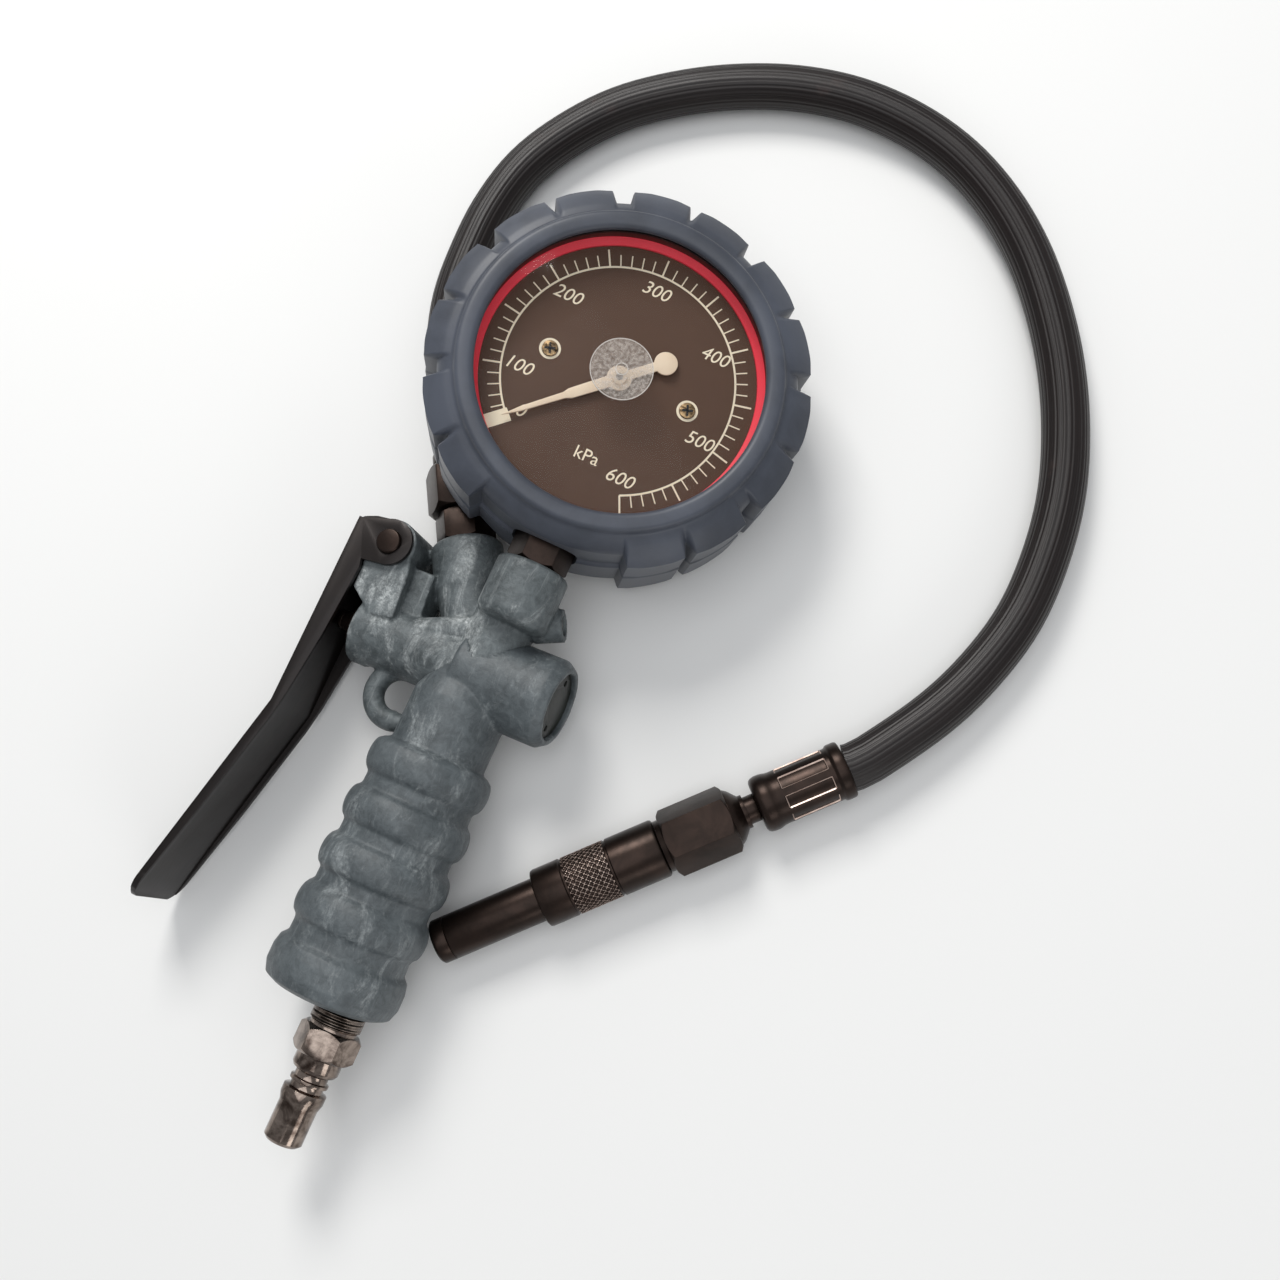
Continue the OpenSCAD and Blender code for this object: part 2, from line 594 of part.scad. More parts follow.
// ---- gauge, in its own frame
// a lug: two pads with a narrow notch between them
module pad_outline(a0, a1) polygon(concat([for (a = [a0, a1]) (boot_r - 2) * [cos(a), sin(a)]],
    [(boot_r + 0.4) * [cos(a1 + 1), sin(a1 + 1)]],
    [for (k = [4:-1:0]) let (a = a0 + 1 + (a1 - a0 - 2) * k / 4) lug_r * [cos(a), sin(a)]],
    [(boot_r + 0.4) * [cos(a0 - 1), sin(a0 - 1)]]));
module lug() {
    linear_extrude(lug_top - boot_back) pad_outline(lug_notch, lug_span / 2);
    linear_extrude(lug_top - boot_back) pad_outline(-lug_span / 2, -lug_notch);
}
module boot_shell() turned([[0, boot_back], [boot_r - 1, boot_back], [boot_r + 1, boot_back + 2],
    [boot_r + 1, 0], [boot_r, 0.8], [boot_r, boot_front - 6], [boot_r - 1.2, boot_front - 3],
    [boot_r - 3.7, boot_front - 0.8], [boot_r - 4.5, boot_front], [window_r + 1.2, boot_front],
    [window_r, boot_front - 0.8], [0, boot_front - 0.8]]);
module gauge_boot() color("#3f4652") difference() {
    in_gauge() difference() {
        union() {
            boot_shell();
            for (k = [1:7]) translate([0, 0, boot_back]) rotate([0, 0, -90 + 45 * k]) lug();
        }
        translate([0, 0, case_back - seated])
            cylinder(r = case_r + seated, h = bezel_top - case_back + 2 * seated);
        translate([0, 0, bezel_top]) cylinder(r = window_r, h = 10);
        rotate([90, 0, 0]) cylinder(r = stem_af / 2 / cos(30) + 0.7, h = lug_r + 2);
        for (p = screw_at) translate([p[0], p[1], case_back - 1.8]) cylinder(r = 3.2, h = 3);
    }
    // the back edge is relieved where the hose fitting passes under it
    in_fitting() cylinder(r = nut_af / 2 / cos(30) + 0.5, h = nut_end + 1.5);
}
module gauge_case() color("#2c2926") in_gauge() difference() {
    union() {
        translate([0, 0, case_back]) difference() {
            cylinder(r = case_r, h = case_front - case_back);
            translate([0, 0, case_wall]) cylinder(r = case_in_r, h = 40);
        }
        for (p = post_at) translate([p[0], p[1], case_floor - cut])
            cylinder(r = 2, h = dial_z - case_floor + cut);
    }
    rotate([90, 0, 0]) cylinder(r = stem_hole_r, h = case_r + 2);
    for (p = screw_at) translate([p[0], p[1], case_back - cut])
        cylinder(r = 1.6, h = case_wall + 2 * cut);
    for (p = post_at) translate([p[0], p[1], dial_z - 5]) cylinder(r = 0.88, h = 6);
}
module bezel_ring() color("#4b3d36") in_gauge() turned([[case_in_r + 0.05, case_front + 0.1],
    [case_r, case_front + 0.1], [case_r, bezel_top - 0.4], [case_r - 0.4, bezel_top],
    [window_r + 0.5, bezel_top], [window_r + 0.5, bezel_lip_z], [case_in_r + 0.05, bezel_lip_z]]);
function dome(r) = dome_rise * (1 - pow(r / window_r, 2));
dome_steps = [for (k = [0:12]) k * window_r / 12];
module lens() color([0.8, 0.85, 0.85, 0.35]) in_gauge() turned(concat(
    [for (r = dome_steps) [r, lens_z + dome(r)]],
    [[case_in_r - 0.1, lens_z], [case_in_r - 0.1, lens_z + lens_t]],
    [for (k = [12:-1:1]) [dome_steps[k], lens_z + lens_t + dome(dome_steps[k])]],
    [[1.5, dome_top], [1.5, dome_top + 0.3], [0, dome_top + 0.3]]));
module lens_gasket() color("black") in_gauge()
    translate([0, 0, gasket_z]) ring(case_in_r - 0.1, window_r + 0.8, lens_z - gasket_z);
module red_ring() color("#d8404c") in_gauge() turned([[window_r - 0.9, ring_seat_z],
    [case_in_r - 0.2, ring_seat_z], [case_in_r - 0.2, gasket_z - 0.1],
    [window_r + 1, gasket_z - 0.1], [window_r + 1, ring_seat_z + 1.6],
    [window_r - 0.9, ring_seat_z + 0.8]]);
module dial_plate() color("#4a352b") in_gauge() difference() {
    translate([0, 0, dial_z]) cylinder(r = case_in_r - 0.3, h = dial_t);
    translate([0, 0, dial_z - cut]) cylinder(r = arbor_r + 0.8, h = 2);
    for (p = post_at) translate([p[0], p[1], dial_z - cut]) cylinder(r = 1, h = 2);
}
module dial_screws() color("#6a5648") in_gauge() for (p = post_at)
    translate([p[0], p[1], 0]) difference() {
        union() {
            translate([0, 0, dial_z - 4]) cylinder(r = 0.85, h = 4 + dial_t);
            translate([0, 0, dial_top]) cylinder(r = 2, h = 0.7);
        }
        translate([-3, -0.3, dial_top + 0.4]) cube([6, 0.6, 1]);
    }
module gauge_socket() color("goldenrod") in_gauge() difference() {
    union() {
        translate([0, boss_y - gauge_y, 0]) {
            rotate([90, 0, 0]) cylinder(r = thread_r, h = port_depth - 1);
            rotate([-90, 0, 0]) hex_bar(stem_af, gauge_reach - boss_reach - 0.1, 1);
        }
        translate([0, 3 - case_in_r, 0]) rotate([90, 0, 0]) cylinder(r = stem_hole_r - 0.05, h = 6);
        translate([-9, 1.2 - case_in_r, case_floor]) cube([18, 14, plate_z - case_floor]);
    }
    translate([0, boss_y - gauge_y - port_depth, 0]) rotate([-90, 0, 0])
        cylinder(r = 1.5, h = 25);
    for (p = screw_at) translate([p[0], p[1], case_back]) cylinder(r = 1.53, h = 6.5);
}
module bourdon_tube() color("#b8862f") in_gauge() {
    difference() {
        rotate([0, 0, tube_tip_angle]) rotate_extrude(angle = tube_arc - 4.5)
            translate([tube_r, tube_z]) scale([0.55, 1]) circle(r = 3.4, $fn = 32);
        translate([-9.05, -case_in_r, -12]) cube([18.1, 15.25, 12]);
    }
    translate([tube_tip[0], tube_tip[1], tube_z - 3]) {
        cylinder(r = 2.4, h = gear_z + gear_t - tube_z + 3);
        cylinder(r = tip_pin_r, h = link_z + link_t + 0.4 - tube_z + 3);
    }
}
module movement_plate(z) difference() {
    translate([0, -14, z]) linear_extrude(plate_t) plate_outline(24, 42, 4);
    translate([0, 0, z - cut]) cylinder(r = arbor_r + running, h = plate_t + 2 * cut);
    translate([sector_pivot[0], sector_pivot[1], z - cut])
        cylinder(r = sector_pin_r + running, h = plate_t + 2 * cut);
}
module movement_back_plate() color("#c9a24a") in_gauge() movement_plate(plate_z);
module movement_front_plate() color("#c9a24a") in_gauge() movement_plate(front_plate_z);
module movement_pillars() color("#c9a24a") in_gauge() for (p = pillar_at)
    translate([p[0], p[1], plate_z + plate_t]) cylinder(r = 1.5, h = plate_gap, $fn = 32);
// a flat spiral, wound between two radii
module hairspring() color("#b9bcc0") in_gauge() translate([0, 0, gear_z + 2.6])
    linear_extrude(0.8) polygon(concat(
        [for (k = [0:72]) (1.8 + k * 0.06) * [cos(15 * k), sin(15 * k)]],
        [for (k = [72:-1:0]) (2.05 + k * 0.06) * [cos(15 * k), sin(15 * k)]]));
module case_screws() color("silver") in_gauge() for (p = screw_at)
    translate([p[0], p[1], case_back]) {
        translate([0, 0, -1.4]) cylinder(r = 2.8, h = 1.4, $fn = 32);
        cylinder(r = 1.5, h = 6, $fn = 32);
    }
// thin teeth with plenty of backlash
module teeth(r, count, first, last) for (k = [first:last]) rotate([0, 0, 360 * k / count])
    polygon([[r - 0.75, -0.32], [r, -0.26], [r + 0.35, -0.12],
        [r + 0.35, 0.12], [r, 0.26], [r - 0.75, 0.32]]);
module sector_outline() difference() {
    union() {
        rotate([0, 0, 90 + 180 / sector_teeth]) teeth(sector_r, sector_teeth, -10, 1);
        polygon(concat([[0, -2.5], [-2.5, 0]],
            [for (a = [100:-6:40]) (sector_r - 0.6) * [cos(a), sin(a)]], [[2.5, -1]]));
        circle(r = 3);
        rotate([0, 0, tail_angle]) translate([0, -1.3]) square([tail_r + 1.2, 2.6]);
    }
    for (a = [56, 84]) rotate([0, 0, a]) translate([10.5, 0]) circle(r = 2.6);
}
module sector_gear() color("#c9a24a") in_gauge()
    translate([sector_pivot[0], sector_pivot[1], 0]) {
        translate([0, 0, gear_z]) linear_extrude(gear_t) sector_outline();
        translate([0, 0, plate_z + 0.1])
            cylinder(r = sector_pin_r, h = front_plate_z - plate_z + 0.8, $fn = 32);
        rotate([0, 0, tail_angle]) translate([tail_r, 0, gear_z]) cylinder(r = 0.6, h = 3, $fn = 24);
    }
// the link's slot, which lets the sector's tail rise and swing past the fixed tip of the tube
module link_slot(r) hull() for (x = [0.1, -tail_shift - 0.1], y = [0.3, -tail_rise - 0.3])
    translate([link_vec[0] + x, link_vec[1] + y]) circle(r = r, $fn = 32);
module tip_link() color("#b9bcc0") in_gauge()
    translate([tail_pin[0], tail_pin[1], link_z]) linear_extrude(link_t) difference() {
        union() {
            circle(r = 1.5, $fn = 32);
            rotate([0, 0, atan2(link_vec[1], link_vec[0])])
                translate([0, -1]) square([norm(link_vec), 2]);
            link_slot(tip_pin_r + 1.2);
        }
        circle(r = 0.65, $fn = 32);
        link_slot(tip_pin_r + 0.2);
    }
module pinion_arbor() color("#b9bcc0") in_gauge() {
    translate([0, 0, plate_z + 0.1]) cylinder(r = arbor_r, h = pointer_z + 1.4 - plate_z);
    translate([0, 0, gear_z - 0.4]) linear_extrude(2) union() {
        circle(r = pinion_r - 0.65, $fn = 32);
        rotate([0, 0, -90]) teeth(pinion_r, pinion_teeth, 0, pinion_teeth - 1);
    }
}
module pointer_outline() difference() {
    union() {
        circle(r = 3.2);
        polygon([[0, -1.5], [13, -1.3], [14.5, -0.8], [pointer_len - 5, -0.6], [pointer_len, 0],
            [pointer_len - 5, 0.6], [14.5, 0.8], [13, 1.3], [0, 1.5]]);
        translate([-11.5, -1.2]) square([11.5, 2.4]);
        translate([-12.5, 0]) circle(r = 3);
    }
    circle(r = arbor_r + 0.01, $fn = 32);
}
module pointer() color("#e8dcb8") in_gauge() rotate([0, 0, zero_angle]) {
    translate([0, 0, pointer_z]) linear_extrude(pointer_t) pointer_outline();
    translate([0, 0, pointer_z + pointer_t]) ring(1.9, arbor_r + 0.01, 0.9);
}

// ---- rear hose fitting
module hose_adaptor() color("#3a302c") in_fitting() difference() {
    union() {
        translate([0, 0, -10]) cylinder(r = thread_r - 1.4, h = 10.5);
        hex_bar(plug_af, adaptor_len, 0.9);
        translate([0, 0, adaptor_len - 1]) cylinder(r = 4.5, h = 8);
    }
    translate([0, 0, -12]) cylinder(r = fitting_bore_r, h = 40);
}
module swivel_nut() color("#33292a") in_fitting() translate([0, 0, nut_start]) difference() {
    hex_bar(nut_af, nut_len, 1.3);
    translate([0, 0, -1]) cylinder(r = 4.6, h = 8.2);
    translate([0, 0, 6]) cylinder(r = 4.25, h = 10);
}
module rear_ferrule() color("#3a302c") in_fitting() difference() {
    turned([[0, nut_start + 6.9], [4.2, nut_start + 6.9], [4.2, nut_end + 0.3],
        [6, nut_end + 0.3], [ferrule_r - 0.2, nut_end + 1.6], [ferrule_r - 0.2, nut_end + 4],
        [crimp_r, nut_end + 5.5], [crimp_r, fitting_len - 5], [ferrule_r, fitting_len - 3.5],
        [ferrule_r, fitting_len - 0.8], [ferrule_r - 0.6, fitting_len], [0, fitting_len]]);
    translate([0, 0, 10]) cylinder(r = fitting_bore_r, h = 60);
}

// ---- hose
function fitting_dir() = [-sin(fitting_yaw) * cos(fitting_dip),
    cos(fitting_yaw) * cos(fitting_dip), -sin(fitting_dip)];
function chuck_dir() = [cos(chuck_angle), sin(chuck_angle), 0];
rear_end = port + (fitting_len + seated) * fitting_dir();
front_end = chuck_place + (chuck_len + seated) * chuck_dir();
hose_path = concat([rear_end, rear_end + lead * fitting_dir()],
    [for (p = route) [p[0], p[1] + valve_y, p[2] + ground_z]],
    [front_end + lead * chuck_dir(), front_end]);
module hose() color("#2b2d30") swept_tube(hose_path, hose_r, hose_sides);

// ---- chuck, in its own frame
module front_ferrule() color("#3a302c") in_chuck() difference() {
    union() {
        turned([[0, ferrule_s], [6, ferrule_s], [7, ferrule_s + 1], [7, ferrule_s + 3],
            [crimp_r, ferrule_s + 4.5], [crimp_r, chuck_len - 4.5], [ferrule_r, chuck_len - 3.5],
            [ferrule_r, chuck_len - 0.8], [ferrule_r - 0.6, chuck_len], [0, chuck_len]]);
        for (k = [0:7]) rotate([0, 0, 45 * k + 22.5])
            translate([4, -1.3, ferrule_s + 6]) cube([3, 2.6, 12]);
    }
    translate([0, 0, ferrule_s - cut]) cylinder(r = hose_bore + seated, h = chuck_len);
}
module hose_tail() color("#c9c4bc") in_chuck() difference() {
    union() {
        translate([0, 0, hex_e + 1]) cylinder(r = hose_tail_r, h = ferrule_s - hex_e - 1.05);
        translate([0, 0, ferrule_s - 1]) cylinder(r = hose_bore, h = chuck_len - ferrule_s + 0.9);
    }
    translate([0, 0, hex_e]) cylinder(r = chuck_bore_r, h = 60);
}
module chuck_body() color("#33292a") in_chuck() difference() {
    union() {
        translate([0, 0, spigot_s]) cylinder(r = spigot_r, h = 10);
        translate([0, 0, nose_e + 0.05]) cylinder(r = spine_r, h = body_s - nose_e);
        translate([0, 0, sleeve_e + 0.2]) cylinder(r = 6.8, h = 2);
        translate([0, 0, body_s]) rotate([0, 0, 30]) hex_bar(chuck_af, hex_e - body_s, 1);
        translate([0, 0, hex_e - 1]) turned([[0, 0], [7.4, 0], [7.4, 1.1], [6.6, 2.2],
            [4.4, body_e - hex_e], [4.4, body_e - hex_e + 1], [0, body_e - hex_e + 1]]);
    }
    translate([0, 0, spigot_s - 1]) cylinder(r = chuck_bore_r, h = 60);
    translate([0, 0, hex_e + 1]) cylinder(r = hose_tail_r + seated, h = 20);
}
module chuck_nose() color("#4a3a33") in_chuck() difference() {
    translate([0, 0, tip_len + 0.05]) cylinder(r = chuck_nose_r, h = nose_e - tip_len - 0.05);
    translate([0, 0, tip_len]) cylinder(r = cavity_r, h = seal_s + 4.2 - tip_len);
    translate([0, 0, seal_s]) cylinder(r = 3, h = spigot_s - seal_s);
    translate([0, 0, spigot_s - 1]) cylinder(r = spigot_r + seated, h = 20);
}
module tip_ring() color("#7a6a60") in_chuck() difference() {
    turned([[0, 0], [chuck_nose_r - 0.7, 0], [chuck_nose_r, 0.7],
        [chuck_nose_r, tip_len], [0, tip_len]]);
    translate([0, 0, -cut]) cylinder(r = socket_r, h = 10);
}
module chuck_jaws() color("silver") in_chuck() for (k = [0:2]) rotate([0, 0, 120 * k])
    translate([0, 0, tip_len + 0.6]) rotate_extrude(angle = 100)
        translate([socket_r + 0.1, 0]) square([cavity_r - socket_r - 0.15, 7]);
module chuck_seal() color("black") in_chuck()
    translate([0, 0, seal_s]) ring(cavity_r - seated, 1.9, 3);
module depressor_pin() color("goldenrod") in_chuck() translate([0, 0, seal_s + 3.05]) difference() {
    union() {
        cylinder(r = cavity_r - 0.1, h = 1.1);
        translate([0, 0, -5.5]) cylinder(r = 1, h = 6);
    }
    for (k = [0:2]) rotate([0, 0, 120 * k])
        translate([2.2, 0, -cut]) cylinder(r = 0.9, h = 2, $fn = 24);
}
module chuck_sleeve() color("#54443c") in_chuck() difference() {
    turned([[0, sleeve_s], [sleeve_r - 0.8, sleeve_s], [sleeve_r, sleeve_s + 0.8],
        [sleeve_r, sleeve_s + 1.6], [sleeve_r - 0.4, sleeve_s + 1.8],
        [sleeve_r - 0.4, sleeve_s + 2.4], [sleeve_r, sleeve_s + 2.6], [sleeve_r, sleeve_e - 0.8],
        [sleeve_r - 0.8, sleeve_e], [0, sleeve_e]]);
    translate([0, 0, sleeve_s - cut])
        cylinder(r = chuck_nose_r + running, h = spring_seat - sleeve_s + cut);
    translate([0, 0, spring_seat - cut]) cylinder(r = spine_r + running, h = 20);
}
module chuck_spring() color("silver") in_chuck()
    coil_spring(5.15, 0.4, nose_e + 0.1, spring_seat - sleeve_travel - 0.1, 4);

valve_body();
grip_sleeve();
gland_nut();
gland_seal();
valve_seat();
valve_end_cap();
end_cap_seal();
poppet_spring();
blanking_screw();
pivot_pin();
pivot_clip();
inlet_nipple();
inlet_strainer();
lever();
valve_stem();
stem_button();
stem_seals();
poppet();
gauge_boot();
gauge_case();
bezel_ring();
lens();
lens_gasket();
red_ring();
dial_plate();
dial_screws();
gauge_socket();
bourdon_tube();
movement_back_plate();
movement_front_plate();
movement_pillars();
hairspring();
case_screws();
sector_gear();
tip_link();
pinion_arbor();
pointer();
hose_adaptor();
swivel_nut();
rear_ferrule();
hose();
front_ferrule();
hose_tail();
chuck_body();
chuck_nose();
tip_ring();
chuck_jaws();
chuck_seal();
depressor_pin();
chuck_sleeve();
chuck_spring();
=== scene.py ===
import bpy
import bmesh
import json
from math import sin, cos, pi, radians, sqrt, ceil, hypot
from mathutils import Matrix, Vector


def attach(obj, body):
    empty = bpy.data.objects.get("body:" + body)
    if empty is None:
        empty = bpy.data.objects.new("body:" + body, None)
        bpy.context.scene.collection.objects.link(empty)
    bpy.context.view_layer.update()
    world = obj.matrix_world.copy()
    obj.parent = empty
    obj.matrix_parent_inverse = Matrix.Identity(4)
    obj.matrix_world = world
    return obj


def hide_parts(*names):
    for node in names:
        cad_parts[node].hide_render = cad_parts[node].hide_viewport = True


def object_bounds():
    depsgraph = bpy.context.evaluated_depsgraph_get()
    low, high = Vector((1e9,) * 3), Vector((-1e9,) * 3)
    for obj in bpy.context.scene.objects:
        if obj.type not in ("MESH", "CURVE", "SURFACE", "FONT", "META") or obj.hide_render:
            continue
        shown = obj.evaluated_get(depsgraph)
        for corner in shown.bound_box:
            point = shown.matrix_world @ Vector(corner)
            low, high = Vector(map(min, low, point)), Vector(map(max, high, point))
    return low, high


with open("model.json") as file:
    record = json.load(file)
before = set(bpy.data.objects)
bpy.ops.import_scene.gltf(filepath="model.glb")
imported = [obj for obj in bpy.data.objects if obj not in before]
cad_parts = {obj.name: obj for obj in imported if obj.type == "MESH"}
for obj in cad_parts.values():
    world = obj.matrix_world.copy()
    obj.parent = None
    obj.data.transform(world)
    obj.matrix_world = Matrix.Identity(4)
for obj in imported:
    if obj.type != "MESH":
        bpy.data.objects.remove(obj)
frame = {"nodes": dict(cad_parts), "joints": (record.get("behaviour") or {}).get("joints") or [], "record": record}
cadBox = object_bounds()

nodes = frame["nodes"]
joints = {j["name"]: j for j in frame["joints"]}
mounts = {m["name"]: m for m in frame["record"]["mounts"]}
mm = 0.001
groundZ = cadBox[0].z


# places of the sub-assemblies, read from the joints and mounts
def placeFrom(origin, xAxis, zAxis):
    z = Vector(zAxis).normalized()
    x = Vector(xAxis)
    x = (x - z * x.dot(z)).normalized()
    y = z.cross(x)
    turn = Matrix((x, y, z)).transposed().to_4x4()
    return Matrix.Translation(Vector(origin)) @ turn @ Matrix.Scale(mm, 4)


gaugePlace = placeFrom(joints["pointer_turn"]["pos_m"], (1, 0, 0), joints["pointer_turn"]["axis"])
socketMount = mounts["tyre_valve_socket"]
chuckDirection = -Vector(socketMount["axis"])
chuckTip = Vector(socketMount["pos_m"]) - chuckDirection * socketMount["dims"]["length_mm"] * mm / 2
chuckPlace = placeFrom(chuckTip, (0, 0, -1), chuckDirection)


# shader helpers
class Wire:
    # one socket of a material's tree, with arithmetic
    def __init__(self, tree, socket):
        self.tree, self.socket = tree, socket

    def maths(self, operation, first, second=None, third=None):
        return addNode(self.tree, "ShaderNodeMath", {"operation": operation}, [first, second, third])

    def __add__(self, other): return self.maths("ADD", self, other)
    def __radd__(self, other): return self.maths("ADD", other, self)
    def __sub__(self, other): return self.maths("SUBTRACT", self, other)
    def __rsub__(self, other): return self.maths("SUBTRACT", other, self)
    def __mul__(self, other): return self.maths("MULTIPLY", self, other)
    def __rmul__(self, other): return self.maths("MULTIPLY", other, self)
    def __truediv__(self, other): return self.maths("DIVIDE", self, other)
    def wave(self): return self.maths("SINE", self)
    def size(self): return self.maths("ABSOLUTE", self)
    def least(self, other): return self.maths("MINIMUM", self, other)

    def between(self, low, high):
        return addNode(self.tree, "ShaderNodeMapRange", {"interpolation_type": "SMOOTHSTEP"}, [self, low, high, 0, 1])


def addNode(tree, kind, settings=None, inputs=None, output=0):
    node = tree.nodes.new(kind)
    for name, value in (settings or {}).items():
        setattr(node, name, value)
    pairs = inputs.items() if isinstance(inputs, dict) else enumerate(inputs or [])
    for key, value in pairs:
        if value is None:
            continue
        if isinstance(value, Wire):
            tree.links.new(value.socket, node.inputs[key])
        else:
            node.inputs[key].default_value = value
    return Wire(tree, node.outputs[output])


def mixColour(tree, factor, first, second):
    sockets = {0: factor}
    for index, colour in ((6, first), (7, second)):
        sockets[index] = colour if isinstance(colour, Wire) else (*colour, 1)
    return addNode(tree, "ShaderNodeMix", {"data_type": "RGBA"}, sockets, 2)


def places(tree, scale=(1, 1, 1), turn=(0, 0, 0), source="Object"):
    where = addNode(tree, "ShaderNodeTexCoord", output=source)
    return addNode(tree, "ShaderNodeMapping", {}, {"Vector": where, "Rotation": turn, "Scale": scale})


def noise(tree, coords, scale, detail=4.0, rough=0.55, distortion=0.0):
    settings = {"noise_dimensions": "3D"}
    return addNode(tree, "ShaderNodeTexNoise", settings,
                   {"Vector": coords, "Scale": scale, "Detail": detail, "Roughness": rough, "Distortion": distortion})


def srgb(red, green, blue):
    def linear(v):
        v /= 255
        return v / 12.92 if v <= 0.04045 else ((v + 0.055) / 1.055) ** 2.4
    return (linear(red), linear(green), linear(blue))


def surface(name, fixed):
    # a Principled surface with its fixed values on its own sockets
    material = bpy.data.materials.new(name)
    material.use_nodes = True
    tree = material.node_tree
    shader = tree.nodes["Principled BSDF"]
    for key, value in fixed.items():
        shader.inputs[key].default_value = (*value, 1) if isinstance(value, tuple) else value
    return material, tree, shader


def wire(tree, value, shader, socket):
    tree.links.new(value.socket, shader.inputs[socket])


def bump(tree, height, shader, strength, distance):
    normal = addNode(tree, "ShaderNodeBump", {}, {"Height": height, "Strength": strength, "Distance": distance})
    tree.links.new(normal.socket, shader.inputs["Normal"])


def castFinish(name, look):
    # painted casting: mottled, with pale scuffs and fine pits
    material, tree, shader = surface(name, {"Metallic": look["metallic"], "Specular IOR Level": 0.5})
    coords = places(tree)
    broad = noise(tree, coords, look["broad"], 5, 0.6)
    fine = noise(tree, coords, look["fine"], 6, 0.7)
    grain = noise(tree, coords, look["fine"] * 0.35, 6, 0.75, 0.8)
    scuff = noise(tree, places(tree, (1, 0.45, 1), (0.3, 0.2, 0.7)), look["scuff"], 8, 0.75, 0.6)
    strokes = noise(tree, places(tree, (1, 0.14, 1), (0.5, 0.9, 0.2)), 420, 4, 0.8, 0.5).between(0.56, 0.70)
    paleShare = scuff.between(look["scuffFrom"], look["scuffTo"]) * (0.25 + 0.75 * fine.between(0.35, 0.62))
    scuffMask = (paleShare + strokes * 0.22).least(1.0)
    base = mixColour(tree, broad.between(0.3, 0.7) * 0.5 + grain.between(0.34, 0.66) * 0.5, look["dark"], look["base"])
    wire(tree, mixColour(tree, scuffMask * look["scuffAmount"], base, look["pale"]), shader, "Base Color")
    wire(tree, look["rough"] + 0.16 * fine - 0.1 * scuffMask, shader, "Roughness")
    bump(tree, fine * 0.6 + grain * 0.5 + broad * 0.5 + scuffMask * 0.3, shader, look["bump"], 0.0004)
    return material


def rubberFinish(name, look):
    # moulded rubber: a faint grain, rubbed patches and a little dust
    material, tree, shader = surface(name, {"Specular IOR Level": look["shine"], "Sheen Weight": look["sheen"],
                                            "Sheen Roughness": 0.5})
    coords = places(tree)
    grain = noise(tree, coords, look["grain"], 3, 0.6)
    patches = noise(tree, coords, look["patch"], 5, 0.6, 0.3)
    dust = noise(tree, coords, look["patch"] * 9, 8, 0.8).between(0.60, 0.78)
    colour = mixColour(tree, patches.between(0.3, 0.72), look["dark"], look["base"])
    wire(tree, mixColour(tree, dust * look["dust"], colour, look["pale"]), shader, "Base Color")
    wire(tree, look["rough"] + 0.14 * patches + 0.1 * dust, shader, "Roughness")
    bump(tree, grain + patches * 0.5, shader, look["bump"], 0.0002)
    return material


def metalFinish(name, look):
    # plated or oiled steel: brushed streaks across one axis, tarnish in patches
    material, tree, shader = surface(name, {"Metallic": look["metallic"], "Coat Weight": look.get("coat", 0.0),
                                            "Coat Roughness": 0.12})
    streak = noise(tree, places(tree, look.get("stretch", (1, 1, 1))), look["streak"], 4, 0.6)
    tarnish = noise(tree, places(tree), look["patch"], 6, 0.65, 0.4)
    colour = mixColour(tree, tarnish.between(0.32, 0.68), look["base"], look["tarnish"])
    wire(tree, colour, shader, "Base Color")
    wire(tree, look["rough"] + look["spread"] * tarnish + 0.08 * streak, shader, "Roughness")
    bump(tree, streak + tarnish * 0.4, shader, look["bump"], 0.00015)
    return material


castLook = {"dark": srgb(56, 62, 64), "base": srgb(103, 110, 112), "pale": srgb(186, 191, 191), "metallic": 0.15,
            "broad": 90, "fine": 1100, "scuff": 95, "scuffFrom": 0.48, "scuffTo": 0.66, "scuffAmount": 0.8,
            "rough": 0.42, "bump": 0.6}
gripLook = dict(castLook, dark=srgb(56, 62, 65), base=srgb(92, 99, 102), pale=srgb(164, 170, 171), scuff=120,
                scuffFrom=0.50, scuffTo=0.70, scuffAmount=0.62, rough=0.40, metallic=0.0, bump=0.45)
bootLook = {"dark": srgb(52, 56, 65), "base": srgb(70, 75, 86), "pale": srgb(120, 130, 144), "rough": 0.36,
            "grain": 2600, "patch": 45, "shine": 0.5, "sheen": 0.05, "dust": 0.05, "bump": 0.12}
blackLook = {"base": srgb(50, 39, 34), "tarnish": srgb(38, 30, 26), "metallic": 0.85, "rough": 0.22, "spread": 0.14,
             "streak": 900, "patch": 120, "bump": 0.10}
leverLook = {"base": srgb(32, 26, 24), "tarnish": srgb(24, 19, 18), "metallic": 0.6, "rough": 0.26, "spread": 0.14,
             "streak": 1200, "patch": 60, "bump": 0.12, "coat": 0.15, "stretch": (1, 0.15, 1)}
chromeLook = {"base": srgb(158, 144, 134), "tarnish": srgb(60, 49, 43), "metallic": 1.0, "rough": 0.08, "spread": 0.10,
              "streak": 900, "patch": 200, "bump": 0.08}
wornLook = {"base": srgb(226, 204, 192), "tarnish": srgb(176, 152, 140), "metallic": 0.6, "rough": 0.3, "spread": 0.16,
            "streak": 900, "patch": 180, "bump": 0.12}
brassLook = {"base": srgb(205, 165, 92), "tarnish": srgb(160, 122, 66), "metallic": 1.0, "rough": 0.24, "spread": 0.15,
             "streak": 1100, "patch": 150, "bump": 0.12}
oldBrassLook = dict(brassLook, base=srgb(190, 160, 120), tarnish=srgb(46, 34, 27), patch=900)
